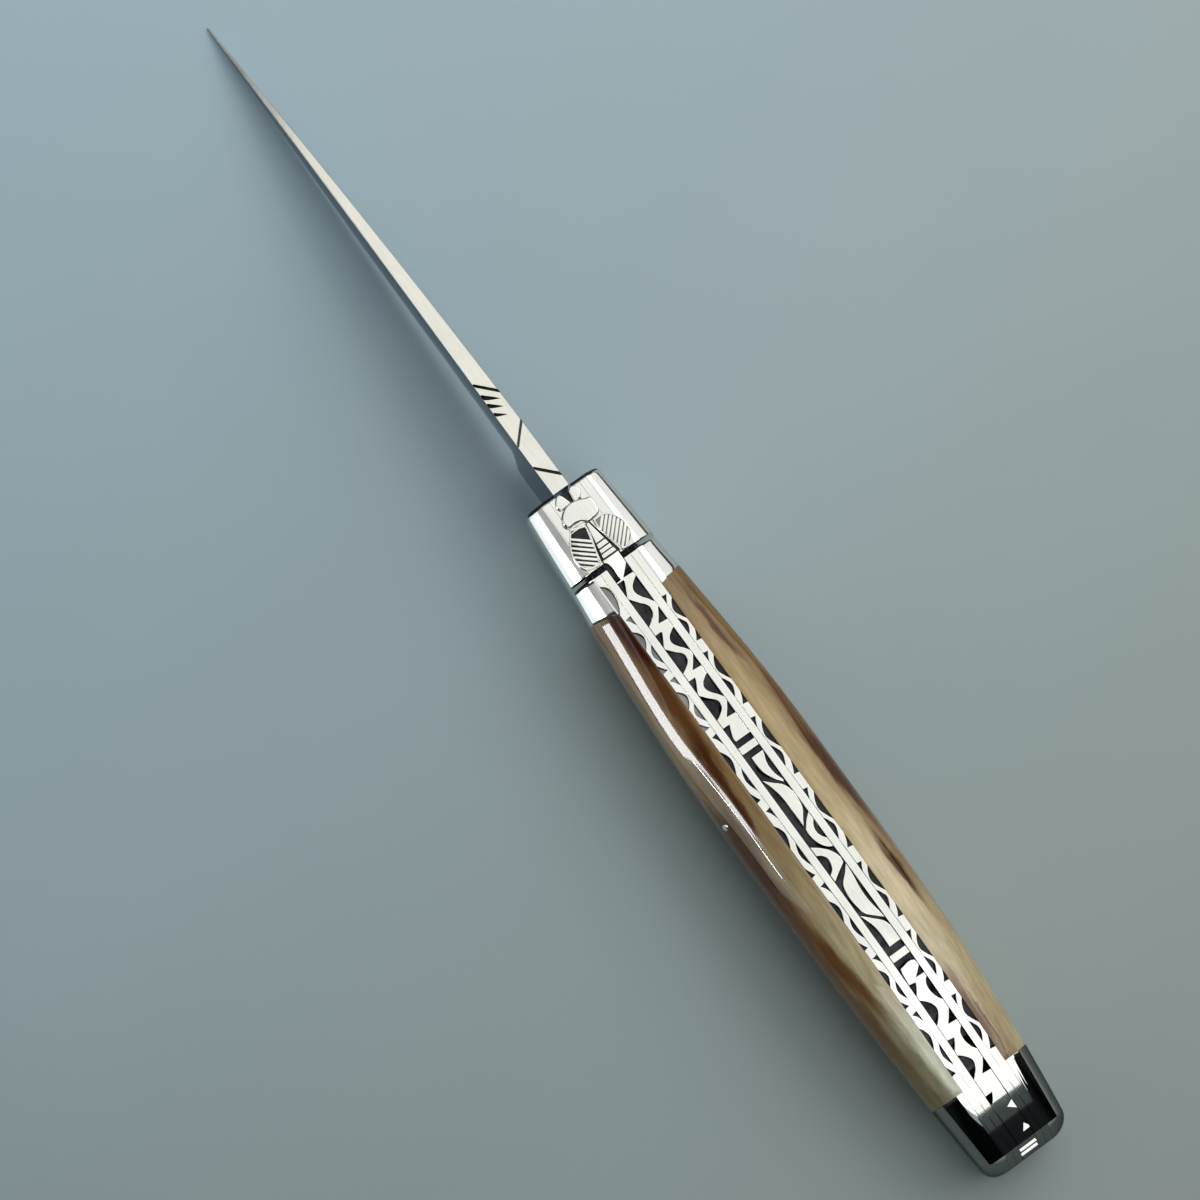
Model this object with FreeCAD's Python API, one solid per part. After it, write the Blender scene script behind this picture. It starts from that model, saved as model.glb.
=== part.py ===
import FreeCAD, Part

import math
import os

# A folding pocket knife, drawn open with its spine up and standing on its tail and its tip.
# It is drawn first in handle axes: x is zero at the handle's front and points to the blade's tip,
# y points to the knife's left, and z is zero on the straight part of the handle's spine.
# Lengths are in millimetres and angles in degrees. A place along the handle is measured back from its front.

# Handle seen from the side
handle_length = 120.0
spine_straight_length = 72.0
spine_bend_radius = 155.0
front_depth = 15.2
tail_depth = 21.0
belly_level_length = 35.0
tail_round_radius = 2.4
belly_front_chamfer = 0.8

# Handle seen from above
widest_half_width = 10.05
widest_place = 60.5
front_half_width = 5.55
tail_half_width = 7.15
front_taper_power = 1.8
tail_taper_power = 2.0

# Cross-section of one side of the handle
top_reach_share = 0.6
top_fall_share = 0.07
upper_reach_share = 0.4
lower_reach_share = 0.5
bottom_rise_share = 0.05
widest_depth_share = 0.28

# Liners, two plates on each side of the slot
spring_width = 3.0
side_clearance = 0.05
inner_liner_thickness = 1.2
outer_liner_thickness = 1.2

# Bolsters
front_bolster_length = 19.5
rear_bolster_length = 13.7
head_length = 13.0
head_rise = 1.0
head_overhang = 0.3
head_front_chamfer = 0.9
head_step_length = 0.9

# Blade and its tang
pivot_setback = 8.0
pivot_depth = 9.2
tang_flat_height = 5.0
walk_rise = 0.35
fold_angle = 175.0
blade_spine_step = 0.4
blade_droop_angle = 3.5
blade_tip_depth = 13.5
blade_heel_depth = 13.6
blade_edge_bow = 0.6
ricasso_length = 9.5
ricasso_bottom_height = 4.7
ricasso_relief = 0.05
edge_thickness = 0.16
tip_thickness = 0.2
tip_height = 0.3

# Back spring
spring_nose_gap = 0.6
spring_seat_clearance = 0.02
spring_seat_length = 16.0
spring_middle_thickness = 5.2
spring_tail_thickness = 4.4
spring_ramp_length = 3.7
tail_block_length = 9.5
tip_clearance = 2.4

# Bee on the spring's head
bee_thorax_place = 4.3
bee_thorax_radius = 2.6
bee_thorax_height = 1.1
bee_wing_height = 0.7
bee_wing_root_place = 4.8
bee_wing_root_width = 0.8
bee_wing_outer_place = 9.6
bee_wing_outer_width = 4.6
bee_wing_tip_gap = 0.25
bee_wing_tip_width = 2.6
bee_body_height = 0.85
bee_body_end_gap = 0.2
bee_body_half_width = 1.05
bee_body_neck_half_width = 0.3
bee_eye_place = 1.6
bee_eye_spread = 1.3
bee_eye_radius = 0.95
bee_eye_height = 0.6

# Pins and rivets, with the distance of each from the end of the piece that it holds
pivot_pin_radius = 1.6
pivot_clearance = 0.03
spring_pin_radius = 1.1
scale_pin_radius = 0.6
rivet_radius = 0.9
pin_clearance = 0.01
middle_pin_place = 62.0
tail_pin_setback = 6.0
tail_pin_depth_share = 0.5
front_scale_pin_setback = 6.5
front_scale_pin_depth = 9.6
centre_scale_pin_place = 54.0
centre_scale_pin_depth = 3.1
rear_scale_pin_setback = 7.3
rear_scale_pin_depth = 13.0
rivet_setback = 3.3
front_rivet_depth = 10.6
rear_rivet_depth = 16.6

# Counts of stations along the lofted shapes
scale_station_count = 9
bolster_station_count = 4
round_station_count = 5
blade_station_count = 8
belly_point_count = 13

# Worked-out places
slot_half_width = spring_width / 2 + side_clearance
inner_liner_face = slot_half_width + inner_liner_thickness
stack_half_width = inner_liner_face + outer_liner_thickness
scale_end_place = handle_length - rear_bolster_length
head_step_place = head_length - head_step_length
tail_block_front = handle_length - tail_block_length
round_start_place = handle_length - tail_round_radius
spring_seat_depth = pivot_depth - tang_flat_height - spring_seat_clearance
blade_reach = tail_block_front - tip_clearance - pivot_setback
tip_place = math.sqrt(blade_reach ** 2 - (blade_tip_depth - pivot_depth) ** 2) - pivot_setback
tail_pin_place = handle_length - tail_pin_setback
overrun = handle_length
left = FreeCAD.Vector(0, 1, 0)


# A point in handle axes from a place behind the handle's front
def point(place, side, height):
    return FreeCAD.Vector(-place, side, height)


# How far a rounded tail corner has come in at a place along the handle
def tail_inset(place):
    along = max(0, place - round_start_place)
    return tail_round_radius - math.sqrt(max(0, tail_round_radius ** 2 - along ** 2))


# Height of the spine at a place, before the tail corner is rounded
def spine_height(place):
    along = max(0, place - spine_straight_length)
    return math.sqrt(spine_bend_radius ** 2 - along ** 2) - spine_bend_radius


# Height of the belly at a place: level at the front, then easing down to the tail
def belly_height(place):
    along = max(0, place - belly_level_length) / (handle_length - belly_level_length)
    ease = (1 - math.cos(math.pi * along)) / 2
    return -front_depth - (tail_depth - front_depth) * ease


# Half width of the handle at a place, seen from above
def half_width(place):
    if place < widest_place:
        taper = ((widest_place - place) / widest_place) ** front_taper_power
        return widest_half_width - (widest_half_width - front_half_width) * taper
    taper = ((place - widest_place) / (handle_length - widest_place)) ** tail_taper_power
    return widest_half_width - (widest_half_width - tail_half_width) * taper


# Closed section across the handle's left side, from an inner plane out to the rounded flank
def half_section(place, inner, width, top, bottom):
    middle = top - (top - bottom) * widest_depth_share
    reach = (width - stack_half_width) * top_reach_share
    top_fall = (top - middle) * top_fall_share
    bottom_rise = (middle - bottom) * bottom_rise_share
    upper = Part.BezierCurve()
    upper.setPoles([
        point(place, stack_half_width, top),
        point(place, stack_half_width + reach, top - top_fall),
        point(place, width, middle + (top - middle) * upper_reach_share),
        point(place, width, middle),
    ])
    lower = Part.BezierCurve()
    lower.setPoles([
        point(place, width, middle),
        point(place, width, middle - (middle - bottom) * lower_reach_share),
        point(place, stack_half_width + reach, bottom + bottom_rise),
        point(place, stack_half_width, bottom),
    ])
    inner_points = [point(place, stack_half_width, bottom), point(place, inner, bottom)]
    inner_points += [point(place, inner, top), point(place, stack_half_width, top)]
    edges = [upper.toShape(), lower.toShape()]
    for start, end in zip(inner_points, inner_points[1:]):
        if start.distanceToPoint(end) > 0:
            edges.append(Part.makeLine(start, end))
    return Part.Wire(Part.__sortEdges__(edges))


# Section of the plain handle, with the tail corner rounded in
def plain_section(place, inner):
    inset = tail_inset(place)
    top = spine_height(place) - inset
    return half_section(place, inner, half_width(place) - inset, top, belly_height(place) + inset)


# Evenly spread places from one place to another
def spread(start, end, count):
    return [start + (end - start) * step / (count - 1) for step in range(count)]


# Places that follow the rounded tail end, closer together towards the end
def round_places():
    angles = spread(0, math.pi / 2, round_station_count)
    return [round_start_place + tail_round_radius * math.sin(angle) for angle in angles]


# Left half of the handle between two places, from an inner plane to the flank
def plain_half(start, end, count, inner):
    sections = [plain_section(place, inner) for place in spread(start, end, count)]
    return Part.makeLoft(sections, True, False)


# Left half of the tail, up to its rounded end
def tail_half(inner):
    body = plain_half(scale_end_place, round_start_place, bolster_station_count, inner)
    end_sections = [plain_section(place, inner) for place in round_places()]
    end = Part.makeLoft(end_sections, True, False)
    return body.fuse(end).removeSplitter()


# Left half of the raised head at the handle's front, with its front chamfer and its rear step
def head_half(inner):
    rows = [
        (0, head_overhang - head_front_chamfer, head_rise - head_front_chamfer, belly_front_chamfer),
        (head_front_chamfer, head_overhang, head_rise, 0),
        (head_step_place, head_overhang, head_rise, 0),
        (head_length, 0, 0, 0),
    ]
    sections = []
    for place, spread_out, rise, lift in rows:
        width = half_width(place) + spread_out
        sections.append(half_section(place, inner, width, rise, belly_height(place) + lift))
    return Part.makeLoft(sections, True, True)


# Left half of the front bolster's neck, behind the head
def neck_half(inner):
    return plain_half(head_length, front_bolster_length, bolster_station_count, inner)


# Cylinder across the handle, from one side distance to another
def cross_cylinder(radius, place, height, start, end):
    return Part.makeCylinder(radius, end - start, point(place, start, height), left)


# The same shape on the knife's other side
def mirrored(shape):
    return shape.mirror(FreeCAD.Vector(0, 0, 0), left)


# Shape on the left side and its mirror image on the right, as one group
def pair(shape):
    return Part.makeCompound([shape, mirrored(shape)])


# Outline of the handle's spine from the head's front to the start of its bend
def front_spine_edges():
    corners = [
        point(0, 0, head_rise - head_front_chamfer),
        point(head_front_chamfer, 0, head_rise),
        point(head_step_place, 0, head_rise),
        point(head_length, 0, 0),
        point(spine_straight_length, 0, 0),
    ]
    return [Part.makeLine(start, end) for start, end in zip(corners, corners[1:])]


# Bent stretch of the spine, up to the tail's rounding
def bend_edge():
    places = spread(spine_straight_length, round_start_place, 3)
    return Part.Arc(*[point(place, 0, spine_height(place)) for place in places]).toShape()


# Rounded end of the tail, from the spine round to the belly
def tail_end_edges():
    half_turn_place = round_start_place + tail_round_radius * math.sin(math.pi / 4)
    places = [round_start_place, half_turn_place, handle_length]
    upper = [point(place, 0, spine_height(place) - tail_inset(place)) for place in places]
    lower = [point(place, 0, belly_height(place) + tail_inset(place)) for place in places]
    end_face = Part.makeLine(upper[-1], lower[-1])
    return [Part.Arc(*upper).toShape(), end_face, Part.Arc(*lower).toShape()]


# Belly line between two places, as one smooth curve
def belly_edge(start, end):
    curve = Part.BSplineCurve()
    curve.interpolate([point(p, 0, belly_height(p)) for p in spread(start, end, belly_point_count)])
    return curve.toShape()


# Flat plate cut to the handle's side outline
def handle_plate(start_side, thickness):
    front_low = point(0, 0, belly_height(0) + belly_front_chamfer)
    belly_front = point(head_front_chamfer, 0, belly_height(head_front_chamfer))
    edges = front_spine_edges() + [bend_edge()] + tail_end_edges()
    edges.append(belly_edge(round_start_place, head_front_chamfer))
    edges.append(Part.makeLine(belly_front, front_low))
    edges.append(Part.makeLine(front_low, point(0, 0, head_rise - head_front_chamfer)))
    face = Part.Face(Part.Wire(Part.__sortEdges__(edges)))
    plate = face.extrude(left * thickness)
    plate.translate(left * start_side)
    return plate


# Radius, place and height of each pin, by the piece's name
tail_pin_top = spine_height(tail_pin_place)
tail_pin_height = tail_pin_top + (belly_height(tail_pin_place) - tail_pin_top) * tail_pin_depth_share
pins = {
    "pivot": (pivot_pin_radius, pivot_setback, -pivot_depth),
    "spring_middle": (spring_pin_radius, middle_pin_place, -spring_middle_thickness / 2),
    "spring_tail": (spring_pin_radius, tail_pin_place, tail_pin_height),
    "front_scale": (scale_pin_radius, front_bolster_length + front_scale_pin_setback, -front_scale_pin_depth),
    "centre_scale": (scale_pin_radius, centre_scale_pin_place, -centre_scale_pin_depth),
    "rear_scale": (scale_pin_radius, scale_end_place - rear_scale_pin_setback, -rear_scale_pin_depth),
    "front_rivet": (rivet_radius, front_bolster_length - rivet_setback, -front_rivet_depth),
    "rear_rivet": (rivet_radius, scale_end_place + rivet_setback, -rear_rivet_depth),
}


# A piece bored right through for the named pins, with a clearance round each
def bored(piece, names, clearance):
    for name in names:
        radius, place, height = pins[name]
        piece = piece.cut(cross_cylinder(radius + clearance, place, height, -overrun, overrun))
    return piece


# Pin of one side, from the slot out to the surface of the given half of the handle
def side_pin(name, half):
    radius, place, height = pins[name]
    return cross_cylinder(radius, place, height, 0, overrun).common(half)


# Pin right across the handle, finished flush with both flanks
def full_pin(name, half):
    one_side = side_pin(name, half)
    return one_side.fuse(mirrored(one_side)).removeSplitter()


# Height of the blade's spine at a distance ahead of the handle
def blade_spine_height(ahead):
    start = head_rise - blade_spine_step
    slope = math.tan(math.radians(blade_droop_angle))
    curve = (start - slope * tip_place + blade_tip_depth - tip_height) / tip_place ** 2
    return start - slope * ahead - curve * ahead ** 2


# Height of the blade's edge at a distance ahead of the handle
def blade_edge_height(ahead):
    along = (ahead - ricasso_length) / (tip_place - ricasso_length)
    bow = blade_edge_bow * 4 * along * (1 - along)
    return -blade_heel_depth - (blade_tip_depth - blade_heel_depth) * along - bow


# Four-sided section of the ground blade, thin at the edge and narrowing to the tip
def blade_section(ahead, base_thickness):
    along = (ahead - ricasso_length) / (tip_place - ricasso_length)
    spine_half = (base_thickness + (tip_thickness - base_thickness) * along) / 2
    edge_half = edge_thickness / 2
    top = blade_spine_height(ahead)
    bottom = blade_edge_height(ahead)
    corners = [(spine_half, top), (edge_half, bottom), (-edge_half, bottom), (-spine_half, top)]
    return Part.makePolygon([point(-ahead, side, height) for side, height in corners + corners[:1]])


# Tang outline round the pivot: a walk circle with a flat for the open and the closed blade
def tang_solid(thickness):
    pivot = point(pivot_setback, -thickness / 2, -pivot_depth)
    walk_radius = tang_flat_height + walk_rise
    walk = Part.makeCylinder(walk_radius, thickness, pivot, left)
    bar = Part.makeBox(pivot_setback, thickness, tang_flat_height + ricasso_bottom_height)
    bar.translate(pivot - FreeCAD.Vector(0, 0, ricasso_bottom_height))
    open_limit = Part.makeBox(overrun, thickness, overrun)
    open_limit.translate(pivot + FreeCAD.Vector(-overrun / 2, 0, tang_flat_height))
    closed_limit = open_limit.copy()
    closed_limit.rotate(pivot, left, -fold_angle)
    tang = walk.fuse(bar).removeSplitter()
    return tang.cut(open_limit).cut(closed_limit)


# Blade with its tang, its ricasso and the ground part, bored for the pivot pin
def blade_solid():
    ricasso_thickness = spring_width - 2 * ricasso_relief
    ricasso_bottom = -pivot_depth - ricasso_bottom_height
    corners = [
        point(0, 0, blade_spine_height(0)),
        point(-ricasso_length, 0, blade_spine_height(ricasso_length)),
        point(-ricasso_length, 0, ricasso_bottom),
        point(0, 0, ricasso_bottom),
    ]
    ricasso = Part.Face(Part.makePolygon(corners + corners[:1])).extrude(left * ricasso_thickness)
    ricasso.translate(left * (-ricasso_thickness / 2))
    stations = spread(ricasso_length, tip_place, blade_station_count)
    ground = Part.makeLoft([blade_section(ahead, ricasso_thickness) for ahead in stations], True, False)
    return bored(tang_solid(spring_width).fuse([ricasso, ground]), ["pivot"], pivot_clearance)


# Back spring: raised head, leaf and the block that fills the tail, bored for its two pins
def spring_solid():
    seat_end = point(spring_seat_length, 0, -spring_seat_depth)
    middle = point(middle_pin_place, 0, -spring_middle_thickness)
    leaf_end = point(tail_block_front, 0, spine_height(tail_block_front) - spring_tail_thickness)
    block_low = point(tail_block_front, 0, belly_height(tail_block_front))
    corners = [
        seat_end,
        point(spring_nose_gap, 0, -spring_seat_depth),
        point(spring_nose_gap, 0, head_rise),
        point(head_step_place, 0, head_rise),
        point(head_step_place + spring_ramp_length, 0, 0),
        point(spine_straight_length, 0, 0),
    ]
    edges = [Part.makeLine(start, end) for start, end in zip(corners, corners[1:])]
    edges.append(bend_edge())
    edges += tail_end_edges()
    edges.append(belly_edge(round_start_place, tail_block_front))
    edges.append(Part.makeLine(block_low, leaf_end))
    underside = Part.BSplineCurve()
    underside.interpolate([leaf_end, middle, seat_end])
    edges.append(underside.toShape())
    face = Part.Face(Part.Wire(Part.__sortEdges__(edges)))
    spring = face.extrude(left * spring_width)
    spring.translate(left * (-spring_width / 2))
    return bored(spring, ["spring_middle", "spring_tail"], pin_clearance)


# Flat shape with the given outline, standing on the spring's head
def on_head(edges, height):
    return Part.Face(Part.Wire(edges)).extrude(FreeCAD.Vector(0, 0, height))


# One wing of the bee, on the left
def bee_wing():
    root = point(bee_wing_root_place, bee_wing_root_width, head_rise)
    outer = point(bee_wing_outer_place, bee_wing_outer_width, head_rise)
    tip = point(head_length - bee_wing_tip_gap, bee_wing_tip_width, head_rise)
    return on_head([Part.Arc(root, outer, tip).toShape(), Part.makeLine(tip, root)], bee_wing_height)


# Bee soldered to the spring's head: domed thorax, two eyes, a wedge body and two wings
def bee_solid():
    dome_radius = (bee_thorax_radius ** 2 + bee_thorax_height ** 2) / (2 * bee_thorax_height)
    dome_centre = point(bee_thorax_place, 0, head_rise + bee_thorax_height - dome_radius)
    above = Part.makeBox(overrun, overrun, overrun, FreeCAD.Vector(-overrun, -overrun / 2, head_rise))
    thorax = Part.makeSphere(dome_radius, dome_centre).common(above)
    body_end = head_step_place - bee_body_end_gap
    rows = [
        (bee_thorax_place, bee_body_neck_half_width),
        (body_end, bee_body_half_width),
        (body_end, -bee_body_half_width),
        (bee_thorax_place, -bee_body_neck_half_width),
    ]
    corners = [point(place, side, head_rise) for place, side in rows]
    body = on_head(Part.makePolygon(corners + corners[:1]).Edges, bee_body_height)
    eye_foot = point(bee_eye_place, bee_eye_spread, head_rise)
    eye = Part.makeCylinder(bee_eye_radius, bee_eye_height, eye_foot)
    wing = bee_wing()
    return thorax.fuse([body, eye, mirrored(eye), wing, mirrored(wing)]).removeSplitter()


# Pieces of the left side, which the right side mirrors
front_pins = ["pivot", "front_rivet"]
scale_pins = ["front_scale", "centre_scale", "rear_scale"]
rear_pins = ["spring_tail", "rear_rivet"]
front_bolster = head_half(stack_half_width).fuse(neck_half(stack_half_width))
horn_scale = plain_half(front_bolster_length, scale_end_place, scale_station_count, stack_half_width)
left_pieces = {
    "inner_liner": bored(handle_plate(slot_half_width, inner_liner_thickness), pins, pin_clearance),
    "outer_liner": bored(handle_plate(inner_liner_face, outer_liner_thickness), pins, pin_clearance),
    "front_bolster": bored(front_bolster, front_pins, pin_clearance),
    "horn_scale": bored(horn_scale, scale_pins, pin_clearance),
    "rear_bolster": bored(tail_half(stack_half_width), rear_pins, pin_clearance),
}

# Whole left side along the scale, out to the surface that its pins are finished flush with
scale_side = plain_half(front_bolster_length, scale_end_place, scale_station_count, slot_half_width)

pieces = {
    "blade": blade_solid(),
    "back_spring": spring_solid(),
    "bee_ornament": bee_solid(),
    "pivot_pin": full_pin("pivot", head_half(0)),
    "spring_middle_pin": full_pin("spring_middle", handle_plate(0, stack_half_width)),
    "spring_tail_pin": full_pin("spring_tail", tail_half(0)),
    "front_scale_pins": pair(side_pin("front_scale", scale_side)),
    "centre_scale_pins": pair(side_pin("centre_scale", scale_side)),
    "rear_scale_pins": pair(side_pin("rear_scale", scale_side)),
    "front_bolster_rivets": pair(side_pin("front_rivet", neck_half(slot_half_width))),
    "rear_bolster_rivets": pair(side_pin("rear_rivet", tail_half(slot_half_width))),
}
for name, piece in left_pieces.items():
    pieces[name + "_left"] = piece
    pieces[name + "_right"] = mirrored(piece)

# The knife stands on its tail corner and its tip, so the line below both becomes level
corner_centre = point(round_start_place, 0, belly_height(round_start_place) + tail_round_radius)
corner_to_tip = point(-tip_place, 0, -blade_tip_depth) - corner_centre
corner_angle = math.asin(tail_round_radius / corner_to_tip.Length)
stand_angle = math.degrees(math.atan2(corner_to_tip.z, corner_to_tip.x) + corner_angle)
for piece in pieces.values():
    piece.rotate(FreeCAD.Vector(0, 0, 0), left, stand_angle)

# The origin is under the middle of the knife, on the surface that it stands on
box = Part.makeCompound(list(pieces.values())).optimalBoundingBox(False, False)
shift = FreeCAD.Vector(-(box.XMin + box.XMax) / 2, 0, -box.ZMin)
stand = FreeCAD.Placement(shift, FreeCAD.Rotation(left, stand_angle))
os.makedirs("parts", exist_ok=True)
for name, piece in pieces.items():
    piece.translate(shift)
    piece.exportStep("parts/" + name + ".step")
    print(name, "solids", len(piece.Solids), "valid", piece.isValid(), "volume", round(piece.Volume, 2))

print("stand angle", stand_angle)
print("pivot centre", stand.multVec(point(pivot_setback, 0, -pivot_depth)))
print("handle front", stand.multVec(point(0, 0, 0)))
print("size", box.XLength, box.YLength, box.ZLength)
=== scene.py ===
import bpy
import math
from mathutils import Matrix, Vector


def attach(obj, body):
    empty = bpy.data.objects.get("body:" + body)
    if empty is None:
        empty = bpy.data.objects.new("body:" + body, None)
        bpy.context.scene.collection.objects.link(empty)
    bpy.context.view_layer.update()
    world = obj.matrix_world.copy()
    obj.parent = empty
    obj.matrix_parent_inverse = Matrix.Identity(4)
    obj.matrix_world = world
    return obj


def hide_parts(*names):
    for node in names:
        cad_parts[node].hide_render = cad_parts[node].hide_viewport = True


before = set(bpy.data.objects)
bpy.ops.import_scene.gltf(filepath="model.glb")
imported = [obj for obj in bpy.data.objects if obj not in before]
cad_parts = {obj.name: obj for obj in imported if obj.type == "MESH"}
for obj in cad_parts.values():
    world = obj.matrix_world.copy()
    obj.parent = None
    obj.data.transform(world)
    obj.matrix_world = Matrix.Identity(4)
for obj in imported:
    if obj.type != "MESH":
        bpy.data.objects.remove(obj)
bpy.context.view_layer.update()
bpy.ops.object.select_all(action="DESELECT")
print("frame loaded, nodes:", len(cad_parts))

# Every piece is modelled on the bench in millimetres, spine up, and then stood in the frame.
# On the bench x is zero at the handle's front and points to the tip, y points to the knife's left,
# and z is zero on the straight of the spine. A place is measured back from the handle's front.
bench = {"tilt": 2.0465399, "ahead": 14.55596, "rise": 16.86484, "scale": 0.001}

handle = {
    "length": 120.0, "straight": 72.0, "bend": 155.0, "below": 0.01,
    "frontDepth": 15.2, "tailDepth": 21.0, "levelBelly": 35.0,
    "tailRound": 2.4, "tailSlope": 2.5, "tailFall": 1.13, "tailBow": 0.13,
    "widest": 10.04, "widestPlace": 60.5, "frontWidth": 5.85, "tailWidth": 7.3, "rearPower": 2.3,
    "slot": 1.55, "innerFace": 2.75, "stack": 3.95,
}


# Eases from 0 to 1 over a length that begins at a start
def smoothStep(value, start=0, length=1):
    share = min(1, max(0, (value - start) / length))
    return share * share * (3 - 2 * share)


def spread(start, end, count):
    return [start + (end - start) * step / (count - 1) for step in range(count)]


# Sharp knots of an outline along one of the handle's lines
def alongLine(places, heightAt):
    return [(place, heightAt(place), 0) for place in places]


def pick(piece):
    bpy.ops.object.select_all(action="DESELECT")
    piece.select_set(True)
    bpy.context.view_layer.objects.active = piece


def enterEdit(piece, action="SELECT"):
    pick(piece)
    bpy.ops.object.mode_set(mode="EDIT")
    bpy.ops.mesh.select_all(action=action)


def leaveEdit():
    bpy.ops.object.mode_set(mode="OBJECT")


# Merges doubles and turns the faces outwards
def tidy(piece, gap=0.0004):
    enterEdit(piece)
    bpy.ops.mesh.remove_doubles(threshold=gap)
    bpy.ops.mesh.normals_make_consistent(inside=False)
    leaveEdit()


def applyModifier(piece, kind, **settings):
    pick(piece)
    modifier = piece.modifiers.new(kind, kind)
    for name, value in settings.items():
        setattr(modifier, name, value)
    bpy.ops.object.modifier_apply(modifier=modifier.name)


def placeAt(piece, location=(0, 0, 0), rotation=(0, 0, 0), scale=(1, 1, 1)):
    pick(piece)
    piece.location = location
    piece.rotation_euler = [math.radians(angle) for angle in rotation]
    piece.scale = scale
    bpy.ops.object.transform_apply(location=True, rotation=True, scale=True)


def joinAll(pieces, name):
    bpy.ops.object.select_all(action="DESELECT")
    for piece in pieces:
        piece.select_set(True)
    bpy.context.view_layer.objects.active = pieces[0]
    bpy.ops.object.join()
    pieces[0].name = name
    return pieces[0]


# Moves a piece from the knife's left to its right
def mirror(piece):
    placeAt(piece, scale=(1, -1, 1))
    tidy(piece)


# The same piece on the knife's right, with a mesh of its own
def rightHand(piece, name):
    pick(piece)
    bpy.ops.object.duplicate()
    twin = bpy.context.object
    twin.name = name
    mirror(twin)
    return twin


# Stands a bench piece in the frame and hands it over to the node that it stands for
def standUp(piece, nodes, body, angle=32):
    location = (bench["ahead"] * bench["scale"], 0, bench["rise"] * bench["scale"])
    placeAt(piece, location, (0, bench["tilt"], 0), (bench["scale"],) * 3)
    bpy.ops.object.shade_smooth_by_angle(angle=math.radians(angle))
    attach(piece, body)
    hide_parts(*nodes)


def paint(piece, *materials):
    piece.data.materials.clear()
    for material in materials:
        piece.data.materials.append(material)


# Gives a material to the faces that pass a test
def paintFaces(piece, index, test):
    for face in piece.data.polygons:
        if test(face):
            face.material_index = index


# Paints shade on the faces that don't look up, with the second material
def paintWallShade(piece, lowest=0.3):
    paintFaces(piece, 1, lambda face: face.normal.z < lowest)


# the handle's own lines
def tailInset(place):
    along = max(0, place - handle["length"] + handle["tailRound"])
    return handle["tailRound"] - math.sqrt(max(0, handle["tailRound"] ** 2 - along ** 2))


# Drop of the steep slope filed on top of the tail
def tailDrop(place):
    along = max(0, place - handle["length"] + handle["tailSlope"])
    return handle["tailFall"] * along + handle["tailBow"] * along ** 2


def spineAt(place):
    along = max(0, place - handle["straight"])
    bend = math.sqrt(handle["bend"] ** 2 - along ** 2) - handle["bend"]
    return bend - handle["below"] - tailDrop(place)


def bellyAt(place):
    along = max(0, place - handle["levelBelly"]) / (handle["length"] - handle["levelBelly"])
    ease = (1 - math.cos(math.pi * along)) / 2
    return -handle["frontDepth"] - (handle["tailDepth"] - handle["frontDepth"]) * ease + tailInset(place)


def widthAt(place):
    peak = handle["widestPlace"]
    if place < peak:
        return handle["widest"] - (handle["widest"] - handle["frontWidth"]) * ((peak - place) / peak) ** 2
    fall = ((place - peak) / (handle["length"] - peak)) ** handle["rearPower"]
    return handle["widest"] - (handle["widest"] - handle["tailWidth"]) * fall - tailInset(place)


# Places down the slope of the tail, closer together towards its end
def tailPlaces(count=9):
    first = handle["length"] - handle["tailSlope"]
    turns = spread(0, math.pi / 2, count)
    return [first + handle["tailSlope"] * math.sin(turn) for turn in turns]


head = {
    "length": 13.7, "step": 12.75, "rise": 1.0, "lip": 0.1, "overhang": 0.68, "taper": 0.038,
    "round": 0.9, "roundSteps": 8, "frontInset": 0.9, "frontLift": 0.8, "frontFacing": 0.5,
}


# Share of the head's full rise at a place: a rounded front edge, then level, then the step down to the neck
def headShare(place):
    if place < head["round"]:
        return math.sqrt(max(0, 1 - (1 - place / head["round"]) ** 2))
    return 1 - smoothStep(place, head["step"], head["length"] - head["step"])


def headTop(place):
    lip = head["lip"] if place < head["round"] else 0
    return lip + (head["rise"] - lip) * headShare(place)


# Arcs of the boxy section at the head and behind it, outwards from the liner: end of the arc as a share
# of the way round, its share of the side distance, and the slopes in degrees at its two ends
crowns = {
    "head": [(0.3, 0.33, 3, 26), (0.8, 0.60, 26, 46), (0.93, 0.07, 46, 90)],
    "horn": [(0.35, 0.40, 3, 22), (0.7, 0.50, 22, 41), (0.9, 0.10, 41, 90)],
}


def crownPoint(t, width, top, middle, arcs):
    side, height, start = handle["stack"], top, 0
    for end, share, low, high in arcs:
        low, high = math.radians(low), math.radians(high)
        radius = share * (width - handle["stack"]) / (math.sin(high) - math.sin(low))
        slope = low + (high - low) * min(1, max(0, (t - start) / (end - start)))
        side += radius * (math.sin(slope) - math.sin(low))
        height -= radius * (math.cos(low) - math.cos(slope))
        start = end
    return Vector((side, height + (middle - height) * max(0, (t - start) / (1 - start))))


def bezierPoint(t, poles):
    weights = ((1 - t) ** 3, 3 * t * (1 - t) ** 2, 3 * t * t * (1 - t), t ** 3)
    return [sum(weight * pole[axis] for weight, pole in zip(weights, poles)) for axis in (0, 1)]


# The widest line of the flank lies a share of the depth down, more behind the head and less at the rear.
# Reach, side, foot and top are shares that fill the section out above and below that line. The boxy section
# is full at the head and has gone by the middle of the handle. Pairs are a start and a length.
flank = {
    "sink": 0.19, "sinkBehind": 0.17, "behind": (16, 14), "sinkRear": 0.08, "rear": (45, 40),
    "reach": 0.6, "sideBelow": 0.5, "footBelow": 0.05, "topAbove": 0.07, "sideAbove": 0.4,
    "boxyEnd": (38, 24), "hornArcs": (17, 22),
}


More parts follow.
